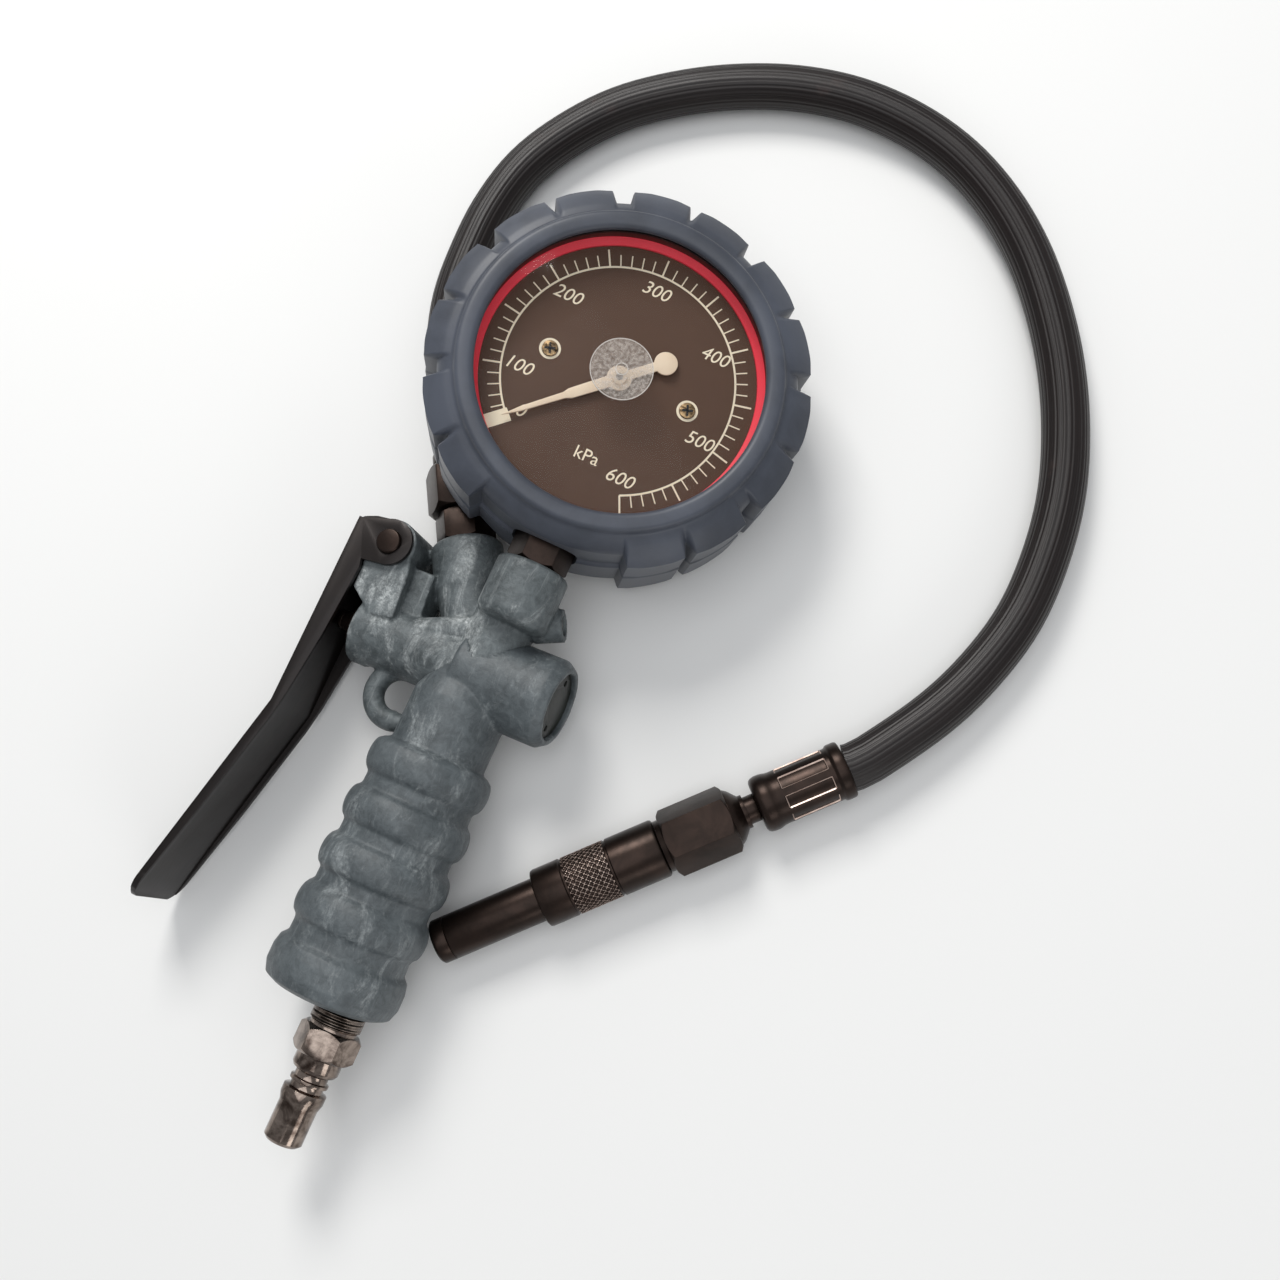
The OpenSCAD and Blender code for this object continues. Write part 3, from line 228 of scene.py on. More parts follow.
steelLook = {"base": srgb(190, 188, 186), "tarnish": srgb(120, 116, 114), "metallic": 1.0, "rough": 0.22, "spread": 0.14,
             "streak": 1300, "patch": 400, "bump": 0.12}
sealLook = {"dark": srgb(12, 12, 13), "base": srgb(24, 24, 26), "pale": srgb(60, 60, 62), "rough": 0.5,
            "grain": 2500, "patch": 200, "shine": 0.4, "sheen": 0.0, "dust": 0.05, "bump": 0.1}
capLook = dict(sealLook, dark=srgb(12, 15, 10), base=srgb(20, 24, 16), rough=0.3, shine=0.3)

castMetal = castFinish("castMetal", castLook)
gripRubber = castFinish("gripRubber", gripLook)
bootRubber = rubberFinish("bootRubber", bootLook)
blackSteel = metalFinish("blackSteel", blackLook)
leverSteel = metalFinish("leverSteel", leverLook)
wornMetal = metalFinish("wornMetal", wornLook)
brassMetal = metalFinish("brassMetal", brassLook)
oldBrass = metalFinish("oldBrass", oldBrassLook)
plainSteel = metalFinish("plainSteel", steelLook)
sealRubber = rubberFinish("sealRubber", sealLook)
capPlastic = rubberFinish("capPlastic", capLook)


def threadFinish(name, look, thread):
    # the plug's plating, with a pipe thread where the plug screws in
    material, tree, shader = surface(name, {"Metallic": 1.0})
    tarnish = noise(tree, places(tree), look["patch"], 6, 0.65, 0.4)
    along = addNode(tree, "ShaderNodeSeparateXYZ", {}, [places(tree)], 1)
    across = addNode(tree, "ShaderNodeSeparateXYZ", {}, [places(tree)], 0)
    height = addNode(tree, "ShaderNodeSeparateXYZ", {}, [places(tree)], 2)
    angle = across.maths("ARCTAN2", height, across)
    ridge = (along * (2 * pi / thread["pitch"]) + angle).wave()
    band = along.between(thread["start"], thread["start"] + 0.0006)
    wire(tree, mixColour(tree, tarnish.between(0.3, 0.7), look["base"], look["tarnish"]), shader, "Base Color")
    wire(tree, look["rough"] + look["spread"] * tarnish + 0.12 * band, shader, "Roughness")
    bump(tree, ridge * band + tarnish * 0.05, shader, 0.9, 0.0004)
    return material


plugThread = {"pitch": 0.001337, "start": 0.0286}
plugPlating = threadFinish("plugPlating", chromeLook, plugThread)


def hoseFinish(name, look):
    material, tree, shader = surface(name, {"Specular IOR Level": 0.32, "Coat Weight": 0.05, "Coat Roughness": 0.35})
    uv = places(tree, (1, 1, 1), (0, 0, 0), "UV")
    around = addNode(tree, "ShaderNodeSeparateXYZ", {}, [uv], 1)
    streak = noise(tree, places(tree, (0.6, 46, 1), (0, 0, 0), "UV"), 5, 5, 0.6)
    wear = noise(tree, places(tree), 90, 6, 0.7)
    scratch = noise(tree, places(tree, (6, 90, 1), (0, 0, 0), "UV"), 6, 8, 0.8).between(0.62, 0.8)
    # painted sheen: a pale streaked band along the hose, at a fixed angle round it, is a painted highlight
    fromTop = (around - look["top"]).size()
    paleShare = 1 - fromTop.between(look["band"] * 0.6, look["band"])
    colour = mixColour(tree, streak.between(0.3, 0.7), look["dark"], look["base"])
    colour = mixColour(tree, paleShare * (0.35 + 0.5 * streak), colour, look["pale"])
    colour = mixColour(tree, (scratch * 0.45 + wear.between(0.6, 0.8) * 0.12).least(1.0), colour, look["scratch"])
    wire(tree, colour, shader, "Base Color")
    wire(tree, look["rough"] + 0.15 * wear, shader, "Roughness")
    bump(tree, streak * 0.8 + wear * 0.3 + (around * 2 * pi * look["lines"]).wave() * 0.2, shader, 0.3, 0.0002)
    return material


# pale is the colour of the hose's painted sheen band
hoseLook = {"dark": srgb(12, 8, 8), "base": srgb(28, 19, 17), "pale": srgb(104, 72, 68), "scratch": srgb(128, 98, 92),
            "rough": 0.30, "top": 0.27, "band": 0.10, "lines": 46}
hoseRubber = hoseFinish("hoseRubber", hoseLook)


def paintFinish(name, look):
    material, tree, shader = surface(name, {"Specular IOR Level": look["shine"]})
    coords = places(tree)
    patches = noise(tree, coords, look["patch"], 5, 0.6)
    speck = noise(tree, coords, look["patch"] * 12, 4, 0.6)
    wire(tree, mixColour(tree, patches, look["dark"], look["base"]), shader, "Base Color")
    wire(tree, look["rough"] + 0.12 * speck, shader, "Roughness")
    bump(tree, speck, shader, 0.05, 0.0001)
    return material


enamelLook = {"base": srgb(92, 66, 50), "dark": srgb(76, 54, 41), "rough": 0.5, "patch": 40, "shine": 0.3}
creamLook = {"base": srgb(246, 234, 208), "dark": srgb(236, 222, 196), "rough": 0.5, "patch": 300, "shine": 0.3}
pointerLook = {"base": srgb(240, 222, 196), "dark": srgb(222, 196, 168), "rough": 0.36, "patch": 160, "shine": 0.5}
redLook = {"base": srgb(255, 66, 84), "dark": srgb(244, 52, 70), "rough": 0.4, "patch": 90, "shine": 0.4}
shadeLook = {"base": srgb(88, 36, 32), "dark": srgb(64, 26, 24), "rough": 0.3, "patch": 90, "shine": 0.5}
dialEnamel = paintFinish("dialEnamel", enamelLook)
dialCream = paintFinish("dialCream", creamLook)
pointerCream = paintFinish("pointerCream", pointerLook)
redPlastic = paintFinish("redPlastic", redLook)
redShade = paintFinish("redShade", shadeLook)


def clearFinish(name, look):
    material, tree, shader = surface(name, {"Base Color": look["colour"], "Alpha": look["alpha"], "IOR": 1.49,
                                            "Coat Weight": look["coat"], "Coat Roughness": 0.03})
    marks = noise(tree, places(tree), look["marks"], 5, 0.6)
    wire(tree, look["rough"] + look["spread"] * marks, shader, "Roughness")
    if look["frost"]:
        wire(tree, look["alpha"] + look["frost"] * marks.between(0.35, 0.7), shader, "Alpha")
    bump(tree, marks, shader, look["bump"], 0.0002)
    return material


clearLook = {"colour": (0.02, 0.02, 0.02), "alpha": 0.05, "coat": 0.0, "rough": 0.04, "spread": 0.04, "marks": 400,
             "frost": 0.0, "bump": 0.02}
frostLook = {"colour": srgb(214, 204, 194), "alpha": 0.10, "coat": 0.3, "rough": 0.15, "spread": 0.3, "marks": 1100,
             "frost": 0.34, "bump": 0.8}
# painted highlight for the bright edges of the lens disc
highlightLook = {"colour": srgb(232, 226, 218), "alpha": 0.55, "coat": 0.5, "rough": 0.1, "spread": 0.1, "marks": 500,
            "frost": 0.2, "bump": 0.2}
lensClear = clearFinish("lensClear", clearLook)
lensFrost = clearFinish("lensFrost", frostLook)
lensHighlight = clearFinish("lensHighlight", highlightLook)
print("materials ready")


# mesh helpers
def addPiece(name, mesh, material, body):
    piece = bpy.data.objects.new(name, mesh)
    bpy.context.scene.collection.objects.link(piece)
    mesh.materials.clear()
    mesh.materials.append(material)
    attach(piece, body)
    return piece


def smoothShade(mesh, sharpAngle=35):
    for face in mesh.polygons:
        face.use_smooth = True
    mesh.set_sharp_from_angle(angle=radians(sharpAngle))


def applyModifiers(piece):
    graph = bpy.context.evaluated_depsgraph_get()
    mesh = bpy.data.meshes.new_from_object(piece.evaluated_get(graph))
    piece.modifiers.clear()
    piece.data = mesh
    return mesh


def mergedCopy(node, name):
    mesh = nodes[node].data.copy()
    mesh.name = name
    form = bmesh.new()
    form.from_mesh(mesh)
    bmesh.ops.remove_doubles(form, verts=form.verts, dist=0.000002)
    bmesh.ops.dissolve_degenerate(form, edges=form.edges, dist=0.000001)
    form.to_mesh(mesh)
    form.free()
    return mesh


def refine(node, name, material, body="housing", edge=0.25, angle=30, steps=2):
    # the CAD solid with its edges eased
    mesh = mergedCopy(node, name)
    form = bmesh.new()
    form.from_mesh(mesh)
    bmesh.ops.dissolve_limit(form, angle_limit=radians(1.2), verts=form.verts, edges=form.edges)
    form.to_mesh(mesh)
    form.free()
    piece = addPiece(name, mesh, material, body)
    ease = piece.modifiers.new("ease", "BEVEL")
    ease.width = edge * mm
    ease.segments = steps
    ease.limit_method = "ANGLE"
    ease.angle_limit = radians(angle)
    ease.use_clamp_overlap = True
    ease.miter_outer = "MITER_ARC"
    applyModifiers(piece)
    smoothShade(piece.data, 38)
    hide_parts(node)
    return piece


def castForm(node, name, material, look, body="housing"):
    # a cast or moulded solid: even mesh, then softened so that its inner corners get fillets
    mesh = mergedCopy(node, name)
    piece = addPiece(name, mesh, material, body)
    even = piece.modifiers.new("even", "REMESH")
    even.mode = "VOXEL"
    even.voxel_size = look["voxel"] * mm
    even.use_smooth_shade = True
    soften = piece.modifiers.new("soften", "SMOOTH")
    soften.factor = 0.5
    soften.iterations = look["rounds"]
    applyModifiers(piece)
    share = look["most"] / (2 * len(piece.data.polygons))
    if share < 1:  # fewer triangles on the plain stretches
        thin = piece.modifiers.new("thin", "DECIMATE")
        thin.ratio = share
        applyModifiers(piece)
    smoothShade(piece.data, 60)
    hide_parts(node)
    return piece


def skinMesh(name, profile, segments, place, shape=None):
    # turns a profile of (radius, height) round the Z axis; shape, if given, sets each point's own radius
    points, faces = [], []
    count = len(profile)
    for radius, height in profile:
        for k in range(segments):
            angle = 2 * pi * k / segments
            r = shape(angle, radius, height) if shape and radius > 0.05 else radius
            points.append(place @ Vector((r * cos(angle), r * sin(angle), height)))
    for i in range(count - 1):
        for k in range(segments):
            nextK = (k + 1) % segments
            faces.append((i * segments + k, i * segments + nextK, (i + 1) * segments + nextK, (i + 1) * segments + k))
    mesh = bpy.data.meshes.new(name)
    mesh.from_pydata(points, [], faces)
    form = bmesh.new()
    form.from_mesh(mesh)
    bmesh.ops.remove_doubles(form, verts=form.verts, dist=0.000002)
    bmesh.ops.recalc_face_normals(form, faces=form.faces)
    form.to_mesh(mesh)
    form.free()
    return mesh


def softened(points, step):
    # extra points along a profile's straight stretches, so that a pattern can shape them
    result = [points[0]]
    for start, end in zip(points, points[1:]):
        parts = max(1, ceil(hypot(end[0] - start[0], end[1] - start[1]) / step))
        for k in range(1, parts + 1):
            t = k / parts
            result.append((start[0] + (end[0] - start[0]) * t, start[1] + (end[1] - start[1]) * t))
    return result


def easeStep(value, low, high):
    t = min(1, max(0, (value - low) / (high - low)))
    return t * t * (3 - 2 * t)


# camera
camera = {"place": (93.3, 91.9, 333.8), "right": (0.91115, 0.39825, -0.1057), "up": (-0.36994, 0.90367, 0.2157),
          "back": (0.18142, -0.15743, 0.9707), "lens": 37.97}
lens = bpy.data.cameras.new("camera")
lens.lens = camera["lens"]
lens.sensor_width = 36
lens.clip_start = 0.01
viewer = bpy.data.objects.new("camera", lens)
bpy.context.scene.collection.objects.link(viewer)
backAxis = Vector(camera["back"]).normalized()
rightAxis = Vector(camera["right"])
rightAxis = (rightAxis - backAxis * rightAxis.dot(backAxis)).normalized()
upAxis = backAxis.cross(rightAxis)
viewerTurn = Matrix((rightAxis, upAxis, backAxis)).transposed().to_4x4()
viewer.matrix_world = Matrix.Translation(Vector(camera["place"]) * mm) @ viewerTurn
bpy.context.scene.camera = viewer


# hose
hose = {"radius": 6.2, "lead": 6, "ribs": 28, "ribDepth": 0.13, "sides": 168, "step": 3.5, "valveY": 122,
        # the places that it lies along: X and Y from the valve bore, and height over the ground
        "route": [(-56.2, 85.5, 6.9), (-59.8, 96.5, 6.5), (-61.3, 109, 6.4), (-61.3, 125, 6.4),
                  (-58, 141, 6.4), (-50.5, 155, 6.4), (-40, 167.5, 6.4), (-26.5, 177.5, 6.4), (-11, 185.5, 6.4),
                  (6, 191, 6.4), (23.5, 193, 6.4), (41, 191, 6.4), (57, 185.5, 6.4), (71.5, 176.5, 6.4),
                  (84, 165, 6.4), (94.5, 151.5, 6.4), (103.5, 136.5, 6.4), (110.5, 120.5, 6.4), (115.5, 103.5, 6.4),
                  (117.6, 86, 6.4), (117, 68.5, 6.4), (112.8, 52, 6.4), (106, 36.5, 6.8)]}
fitting = {"port": (-23.5, 153, 12), "yaw": 31, "length": 50, "ferruleRadius": 7.5, "lift": 0.2}
chuckLength = 113

fittingDrop = (fitting["port"][2] - fitting["ferruleRadius"] - fitting["lift"]) / fitting["length"]
fittingFlat = sqrt(1 - fittingDrop ** 2)
fittingYaw = radians(fitting["yaw"])
fittingDirection = Vector((-sin(fittingYaw) * fittingFlat, cos(fittingYaw) * fittingFlat, -fittingDrop))
portPoint = Vector((fitting["port"][0] * mm, fitting["port"][1] * mm, groundZ + fitting["port"][2] * mm))
fittingPlace = placeFrom(portPoint, (1, 0, 0), fittingDirection)


def hoseRoute():
    rearEnd = portPoint + fittingDirection * fitting["length"] * mm
    frontEnd = chuckTip + chuckDirection * chuckLength * mm
    route = [Vector((x * mm, (y + hose["valveY"]) * mm, groundZ + z * mm)) for x, y, z in hose["route"]]
    lead = hose["lead"] * mm
    return [rearEnd, rearEnd + fittingDirection * lead] + route + [frontEnd + chuckDirection * lead, frontEnd]


def smoothRoute(points, step):
    # a curve through every point, in steps of one length
    result = []
    for i in range(len(points) - 1):
        before = points[max(i - 1, 0)]
        after = points[min(i + 2, len(points) - 1)]
        start, end = points[i], points[i + 1]
        parts = max(2, ceil((end - start).length / step))
        for k in range(parts):
            t = k / parts
            bend = 2 * before - 5 * start + 4 * end - after
            twist = 3 * start - before - 3 * end + after
            result.append(0.5 * ((2 * start) + (end - before) * t + bend * t ** 2 + twist * t ** 3))
    result.append(points[-1])
    return result


def hoseMesh(path):
    # rings carried along the route without twist, with ribs that run lengthwise
    sides, count = hose["sides"], len(path)
    points, faces, lengths = [], [], [0]
    heading = (path[1] - path[0]).normalized()
    side = heading.cross(Vector((0, 0, 1))).normalized()
    for i, point in enumerate(path):
        ahead = (path[min(i + 1, count - 1)] - path[max(i - 1, 0)]).normalized()
        side = (side - ahead * side.dot(ahead)).normalized()
        over = ahead.cross(side)
        if i:
            lengths.append(lengths[-1] + (point - path[i - 1]).length)
        for k in range(sides):
            angle = 2 * pi * k / sides
            rib = abs(cos(angle * hose["ribs"] / 2)) ** 0.6
            r = (hose["radius"] - hose["ribDepth"] * (1 - rib)) * mm
            points.append(point + side * (r * cos(angle)) + over * (r * sin(angle)))
    for i in range(count - 1):
        for k in range(sides):
            nextK = (k + 1) % sides
            faces.append((i * sides + k, (i + 1) * sides + k, (i + 1) * sides + nextK, i * sides + nextK))
    faces.append(tuple(range(sides)))
    faces.append(tuple(reversed(range((count - 1) * sides, count * sides))))
    mesh = bpy.data.meshes.new("hoseTube")
    mesh.from_pydata(points, [], faces)
    layer = mesh.uv_layers.new(name="along")
    for face in mesh.polygons:
        for loop in face.loop_indices:
            vertex = mesh.loops[loop].vertex_index
            k = vertex % sides
            if face.index < (count - 1) * sides and k == 0 and face.index % sides == sides - 1:
                k = sides
            layer.data[loop].uv = (lengths[vertex // sides] * 10, k / sides)
    form = bmesh.new()
    form.from_mesh(mesh)
    bmesh.ops.recalc_face_normals(form, faces=form.faces)
    form.to_mesh(mesh)
    form.free()
    return mesh, lengths[-1]


route = hoseRoute()
hosePath = smoothRoute(route, hose["step"] * mm)
tube, hoseLength = hoseMesh(hosePath)
smoothShade(tube, 50)
hosePiece = addPiece("airHose", tube, hoseRubber, "housing")
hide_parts("hose")
print("hose length", round(hoseLength, 4))


# repeated bars on a circle, as a node tree
def barRing(name, sizes, place, material, body):
    tree = bpy.data.node_groups.new(name, "GeometryNodeTree")
    names = {}
    kinds = {"Count": "NodeSocketInt", "First Angle": "NodeSocketFloat", "Angle Step": "NodeSocketFloat",
             "Radius": "NodeSocketFloat", "Height": "NodeSocketFloat", "Bar Size": "NodeSocketVector"}
    for label, kind in kinds.items():
        names[label] = tree.interface.new_socket(name=label, in_out="INPUT", socket_type=kind).identifier
    tree.interface.new_socket(name="Geometry", in_out="OUTPUT", socket_type="NodeSocketGeometry")
    source = tree.nodes.new("NodeGroupInput")
    given = {label: Wire(tree, source.outputs[label]) for label in names}
    line = addNode(tree, "GeometryNodeMeshLine", {}, {"Count": given["Count"]})
    index = addNode(tree, "GeometryNodeInputIndex")
    angle = given["First Angle"] + index * given["Angle Step"]
    across = angle.maths("COSINE", angle) * given["Radius"]
    along = angle.maths("SINE", angle) * given["Radius"]
    spot = addNode(tree, "ShaderNodeCombineXYZ", {}, [across, along, given["Height"]])
    turn = addNode(tree, "ShaderNodeCombineXYZ", {}, [0.0, 0.0, angle])
    placed = addNode(tree, "GeometryNodeSetPosition", {}, {"Geometry": line, "Position": spot})
    bar = addNode(tree, "GeometryNodeMeshCube", {}, {"Size": given["Bar Size"]})
    bars = addNode(tree, "GeometryNodeInstanceOnPoints", {}, {"Points": placed, "Instance": bar, "Rotation": turn})
    solid = addNode(tree, "GeometryNodeRealizeInstances", {}, [bars])
    painted = addNode(tree, "GeometryNodeSetMaterial", {}, {"Geometry": solid, "Material": material})
    target = tree.nodes.new("NodeGroupOutput")
    tree.links.new(painted.socket, target.inputs[0])
    holder = bpy.data.objects.new(name, bpy.data.meshes.new(name))
    bpy.context.scene.collection.objects.link(holder)
    modifier = holder.modifiers.new(name, "NODES")
    modifier.node_group = tree
    values = {"Count": sizes["count"], "First Angle": radians(sizes["first"]), "Angle Step": radians(sizes["step"]),
              "Radius": sizes["radius"], "Height": sizes["height"], "Bar Size": sizes["bar"]}
    for label, value in values.items():
        modifier[names[label]] = value
    graph = bpy.context.evaluated_depsgraph_get()
    mesh = bpy.data.meshes.new_from_object(holder.evaluated_get(graph))
    bpy.data.objects.remove(holder)
    mesh.transform(place)
    mesh.update()
    return addPiece(name, mesh, material, body)


# gauge boot
boot = {"back": -17, "front": 19, "baseRadius": 46.2, "wallRadius": 45.2, "ridgeRadius": 41.4, "windowRadius": 36.1,
        "caseRadius": 40.04, "caseBack": -13.04, "caseTop": 17.23, "lugRise": 3.8, "lugPitch": 45, "lugHalf": 20.2,
        "notchWidth": 1.5, "endWidth": 0.9, "lugTop": 16.6, "lugEdge": 12.6, "ledge": 0.2,
        "stemRadius": 8.8, "reliefRadius": 10.3, "reliefEnd": 23.8, "segments": 960}


def easeLine(value, width):
    return min(1, max(0, value / width))


def bootShape(angle, radius, height):
    # fourteen pads in seven pairs round the boot, with none over the stem
    if radius < boot["ridgeRadius"] + 0.6 or height > boot["lugTop"]:
        return radius
    degrees = (angle * 180 / pi + 90) % 360  # measured from the stem
    middle = boot["lugPitch"] * round(degrees / boot["lugPitch"])
    if middle % 360 == 0:
        return radius
    across = abs(degrees - middle)
    notch = easeLine(across - 0.25, boot["notchWidth"])
    end = easeLine(boot["lugHalf"] - across, boot["endWidth"])
    inside = min(across, boot["lugHalf"] - across)
    crown = 0.92 + 0.08 * easeStep(inside, 1.0, 6.5)
    front = boot["ledge"] + (1 - boot["ledge"]) * easeLine(boot["lugTop"] - height, boot["lugTop"] - boot["lugEdge"])
    low = height < 0.4
    rise = (boot["lugRise"] - (0.9 if low else 0.15)) * min(notch, end) * crown * front
    return max(radius, min(49.0, radius + rise))


def bootProfile():
    back, base, wall, ridge = boot["back"], boot["baseRadius"], boot["wallRadius"], boot["ridgeRadius"]
    outside = [(44.6, back), (45.6, back + 0.5), (base, back + 1.6), (base, -0.2), (45.9, 0.25), (wall, 0.7), (wall, 12.6),
               (44.6, 14), (43.5, 15.4), (42.3, 16.5), (ridge, 17.0), (41.0, 17.5), (40.9, 18.2), (40.4, 18.8), (39.6, 19.0)]
    inside = [(37.6, 19.0), (36.9, 18.8), (36.3, 18.3), (boot["windowRadius"], 17.9), (boot["windowRadius"], boot["caseTop"]),
              (boot["caseRadius"], boot["caseTop"]), (boot["caseRadius"], boot["caseBack"]), (0.01, boot["caseBack"])]
    return [(0.01, back)] + softened(outside, 0.9) + inside


bootMesh = skinMesh("gaugeBoot", bootProfile(), boot["segments"], gaugePlace, bootShape)
bootPiece = addPiece("gaugeBoot", bootMesh, bootRubber, "housing")
stemTurn = gaugePlace @ Matrix.Rotation(pi / 2, 4, "X")
stemOutline = [(0.001, 30), (boot["stemRadius"], 30), (boot["stemRadius"], 60), (0.001, 60)]
cutter = bpy.data.objects.new("stemHole", skinMesh("stemHole", stemOutline, 64, stemTurn))
bpy.context.scene.collection.objects.link(cutter)
reliefOutline = [(0.001, 0), (boot["reliefRadius"], 0), (boot["reliefRadius"], boot["reliefEnd"]), (0.001, boot["reliefEnd"])]
relief = bpy.data.objects.new("relief", skinMesh("relief", reliefOutline, 96, fittingPlace))
bpy.context.scene.collection.objects.link(relief)
for tool in (cutter, relief):
    opening = bootPiece.modifiers.new("opening", "BOOLEAN")
    opening.object = tool
    opening.operation = "DIFFERENCE"
    opening.solver = "EXACT"
applyModifiers(bootPiece)
for tool in (cutter, relief):
    bpy.data.objects.remove(tool)
bootPiece.data.materials.clear()
bootPiece.data.materials.append(bootRubber)
smoothShade(bootPiece.data, 42)
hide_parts("gauge_boot")
print("boot ready")


# dial print
dial = {"face": 9.5, "print": 0.05, "zero": 223, "sweep": 289, "parts": 55, "circle": 29.7, "major": 4.6, "minor": 3.2,
        "line": 0.5, "numeral": 25.4, "digitHeight": 4.6}
partStep = dial["sweep"] / dial["parts"]
top = dial["face"] + dial["print"] / 2
minorTicks = {"count": dial["parts"], "first": dial["zero"] - partStep, "step": -partStep,
              "radius": dial["circle"] + dial["minor"] / 2, "height": top, "bar": (dial["minor"], 0.32, dial["print"])}
majorTicks = {"count": 11, "first": dial["zero"] - 5 * partStep, "step": -5 * partStep,
              "radius": dial["circle"] + dial["major"] / 2, "height": top + 0.01, "bar": (dial["major"], 0.46, dial["print"])}
zeroBlock = {"count": 1, "first": dial["zero"], "step": 0, "radius": dial["circle"] + 2.4, "height": top + 0.02,
             "bar": (6.2, 3.6, dial["print"])}
barRing("dialMinorTicks", minorTicks, gaugePlace, dialCream, "housing")
barRing("dialMajorTicks", majorTicks, gaugePlace, dialCream, "housing")
barRing("dialZeroBlock", zeroBlock, gaugePlace, dialCream, "housing")


def arcMesh(name, radius, width, start, end, low, high, parts=160):
    points, faces = [], []
    inner, outer = radius - width / 2, radius + width / 2
    for k in range(parts + 1):
        angle = radians(start + (end - start) * k / parts)
        for reach, height in ((inner, low), (outer, low), (outer, high), (inner, high)):
            points.append(gaugePlace @ Vector((reach * cos(angle), reach * sin(angle), height)))
    for k in range(parts):
        for j in range(4):
            faces.append((4 * k + j, 4 * k + (j + 1) % 4, 4 * k + 4 + (j + 1) % 4, 4 * k + 4 + j))
    faces += [(0, 1, 2, 3), tuple(4 * parts + j for j in (3, 2, 1, 0))]
    mesh = bpy.data.meshes.new(name)
    mesh.from_pydata(points, [], faces)
    form = bmesh.new()
    form.from_mesh(mesh)
    bmesh.ops.recalc_face_normals(form, faces=form.faces)
    form.to_mesh(mesh)
    form.free()
    return mesh


addPiece("dialCircle", arcMesh("dialCircle", dial["circle"], dial["line"], dial["zero"], dial["zero"] - dial["sweep"],
                               dial["face"], dial["face"] + dial["print"]), dialCream, "housing")


def printText(name, words, x, y, height, slant=0.22):
    curve = bpy.data.curves.new(name, "FONT")
    curve.body = words
    curve.align_x = "CENTER"
    curve.align_y = "CENTER"
    curve.size = height * 1.38
    curve.shear = slant
    curve.extrude = dial["print"] / 2
    curve.resolution_u = 4
    holder = bpy.data.objects.new(name, curve)
    bpy.context.scene.collection.objects.link(holder)
    graph = bpy.context.evaluated_depsgraph_get()
    mesh = bpy.data.meshes.new_from_object(holder.evaluated_get(graph))
    bpy.data.objects.remove(holder)
    mesh.transform(gaugePlace @ Matrix.Translation((x, y, top)))
    mesh.update()
    return addPiece(name, mesh, dialCream, "housing")


numeralHeight = dial["digitHeight"] * 0.78
for number in range(1, 7):
    angle = radians(dial["zero"] - partStep * (10 * number - 5))
    across, along = dial["numeral"] * cos(angle), dial["numeral"] * sin(angle)
    printText("dialNumeral%d" % (number * 100), str(number * 100), across, along, numeralHeight)
zeroAngle = radians(dial["zero"])
printText("dialNumeral0", "0", 26 * cos(zeroAngle), 26 * sin(zeroAngle), numeralHeight)
printText("dialUnit", "kPa", 0.6, -21.4, 3.4, 0)
screw = {"place": 18.9, "inner": 2.1, "outer": 2.75, "thick": 0.1, "slot": (2.8, 0.55, 0.12), "turn": 20}
ringTop = dial["face"] + screw["thick"]
ringOutline = [(screw["inner"], dial["face"]), (screw["outer"], dial["face"]), (screw["outer"], ringTop), (screw["inner"], ringTop),
               (screw["inner"], dial["face"])]
# painted shade: near-black bars in a cross on each screw head stand for its shaded cross recess
crossSizes = {"count": 2, "first": screw["turn"], "step": 90, "radius": 0, "height": dial["face"] + 0.68, "bar": screw["slot"]}
for side in (-1, 1):
    screwPlace = gaugePlace @ Matrix.Translation((screw["place"] * side, 0, 0))
    edgeRing = skinMesh("screwRing", ringOutline, 48, screwPlace)
    addPiece("screwRing%d" % (side + 1), edgeRing, dialCream, "housing")
    barRing("screwRecessShade%d" % (side + 1), crossSizes, screwPlace, sealRubber, "housing")
print("dial ready")


# lens centre: a frosted disc with a small boss
lensDisc = {"radius": 7.9, "under": 17.9, "thick": 0.25, "boss": 1.5, "rim": 0.22}
under, wide = lensDisc["under"], lensDisc["radius"]
discOutline = [(0.001, under - 0.4), (lensDisc["boss"], under - 0.4), (lensDisc["boss"], under), (wide - 0.5, under),
               (wide - 0.4, under - 0.2), (wide, under - 0.2), (wide, under + lensDisc["thick"]), (0.001, under + lensDisc["thick"])]
discMesh = skinMesh("lensDisc", discOutline, 96, gaugePlace)
smoothShade(discMesh, 30)
addPiece("lensDisc", discMesh, lensFrost, "housing")
# painted highlight: pale, half-clear rings on the disc's rim and round its boss stand for their bright edges
low, high = under + 0.02, under + lensDisc["thick"] + 0.02
for name, outer in (("lensRimHighlight", wide), ("lensBossHighlight", lensDisc["boss"] + 0.1)):
    inner = outer - lensDisc["rim"]
    rimMesh = skinMesh(name, [(inner, low), (outer, low), (outer, high), (inner, high), (inner, low)], 96, gaugePlace)
    addPiece(name, rimMesh, lensHighlight, "housing")

# cast head and grip
castForm("valve_body", "castHead", castMetal, {"voxel": 0.42, "rounds": 3, "most": 180000})
castForm("grip_sleeve", "ribbedGrip", gripRubber, {"voxel": 0.4, "rounds": 1, "most": 180000})
print("castings ready")

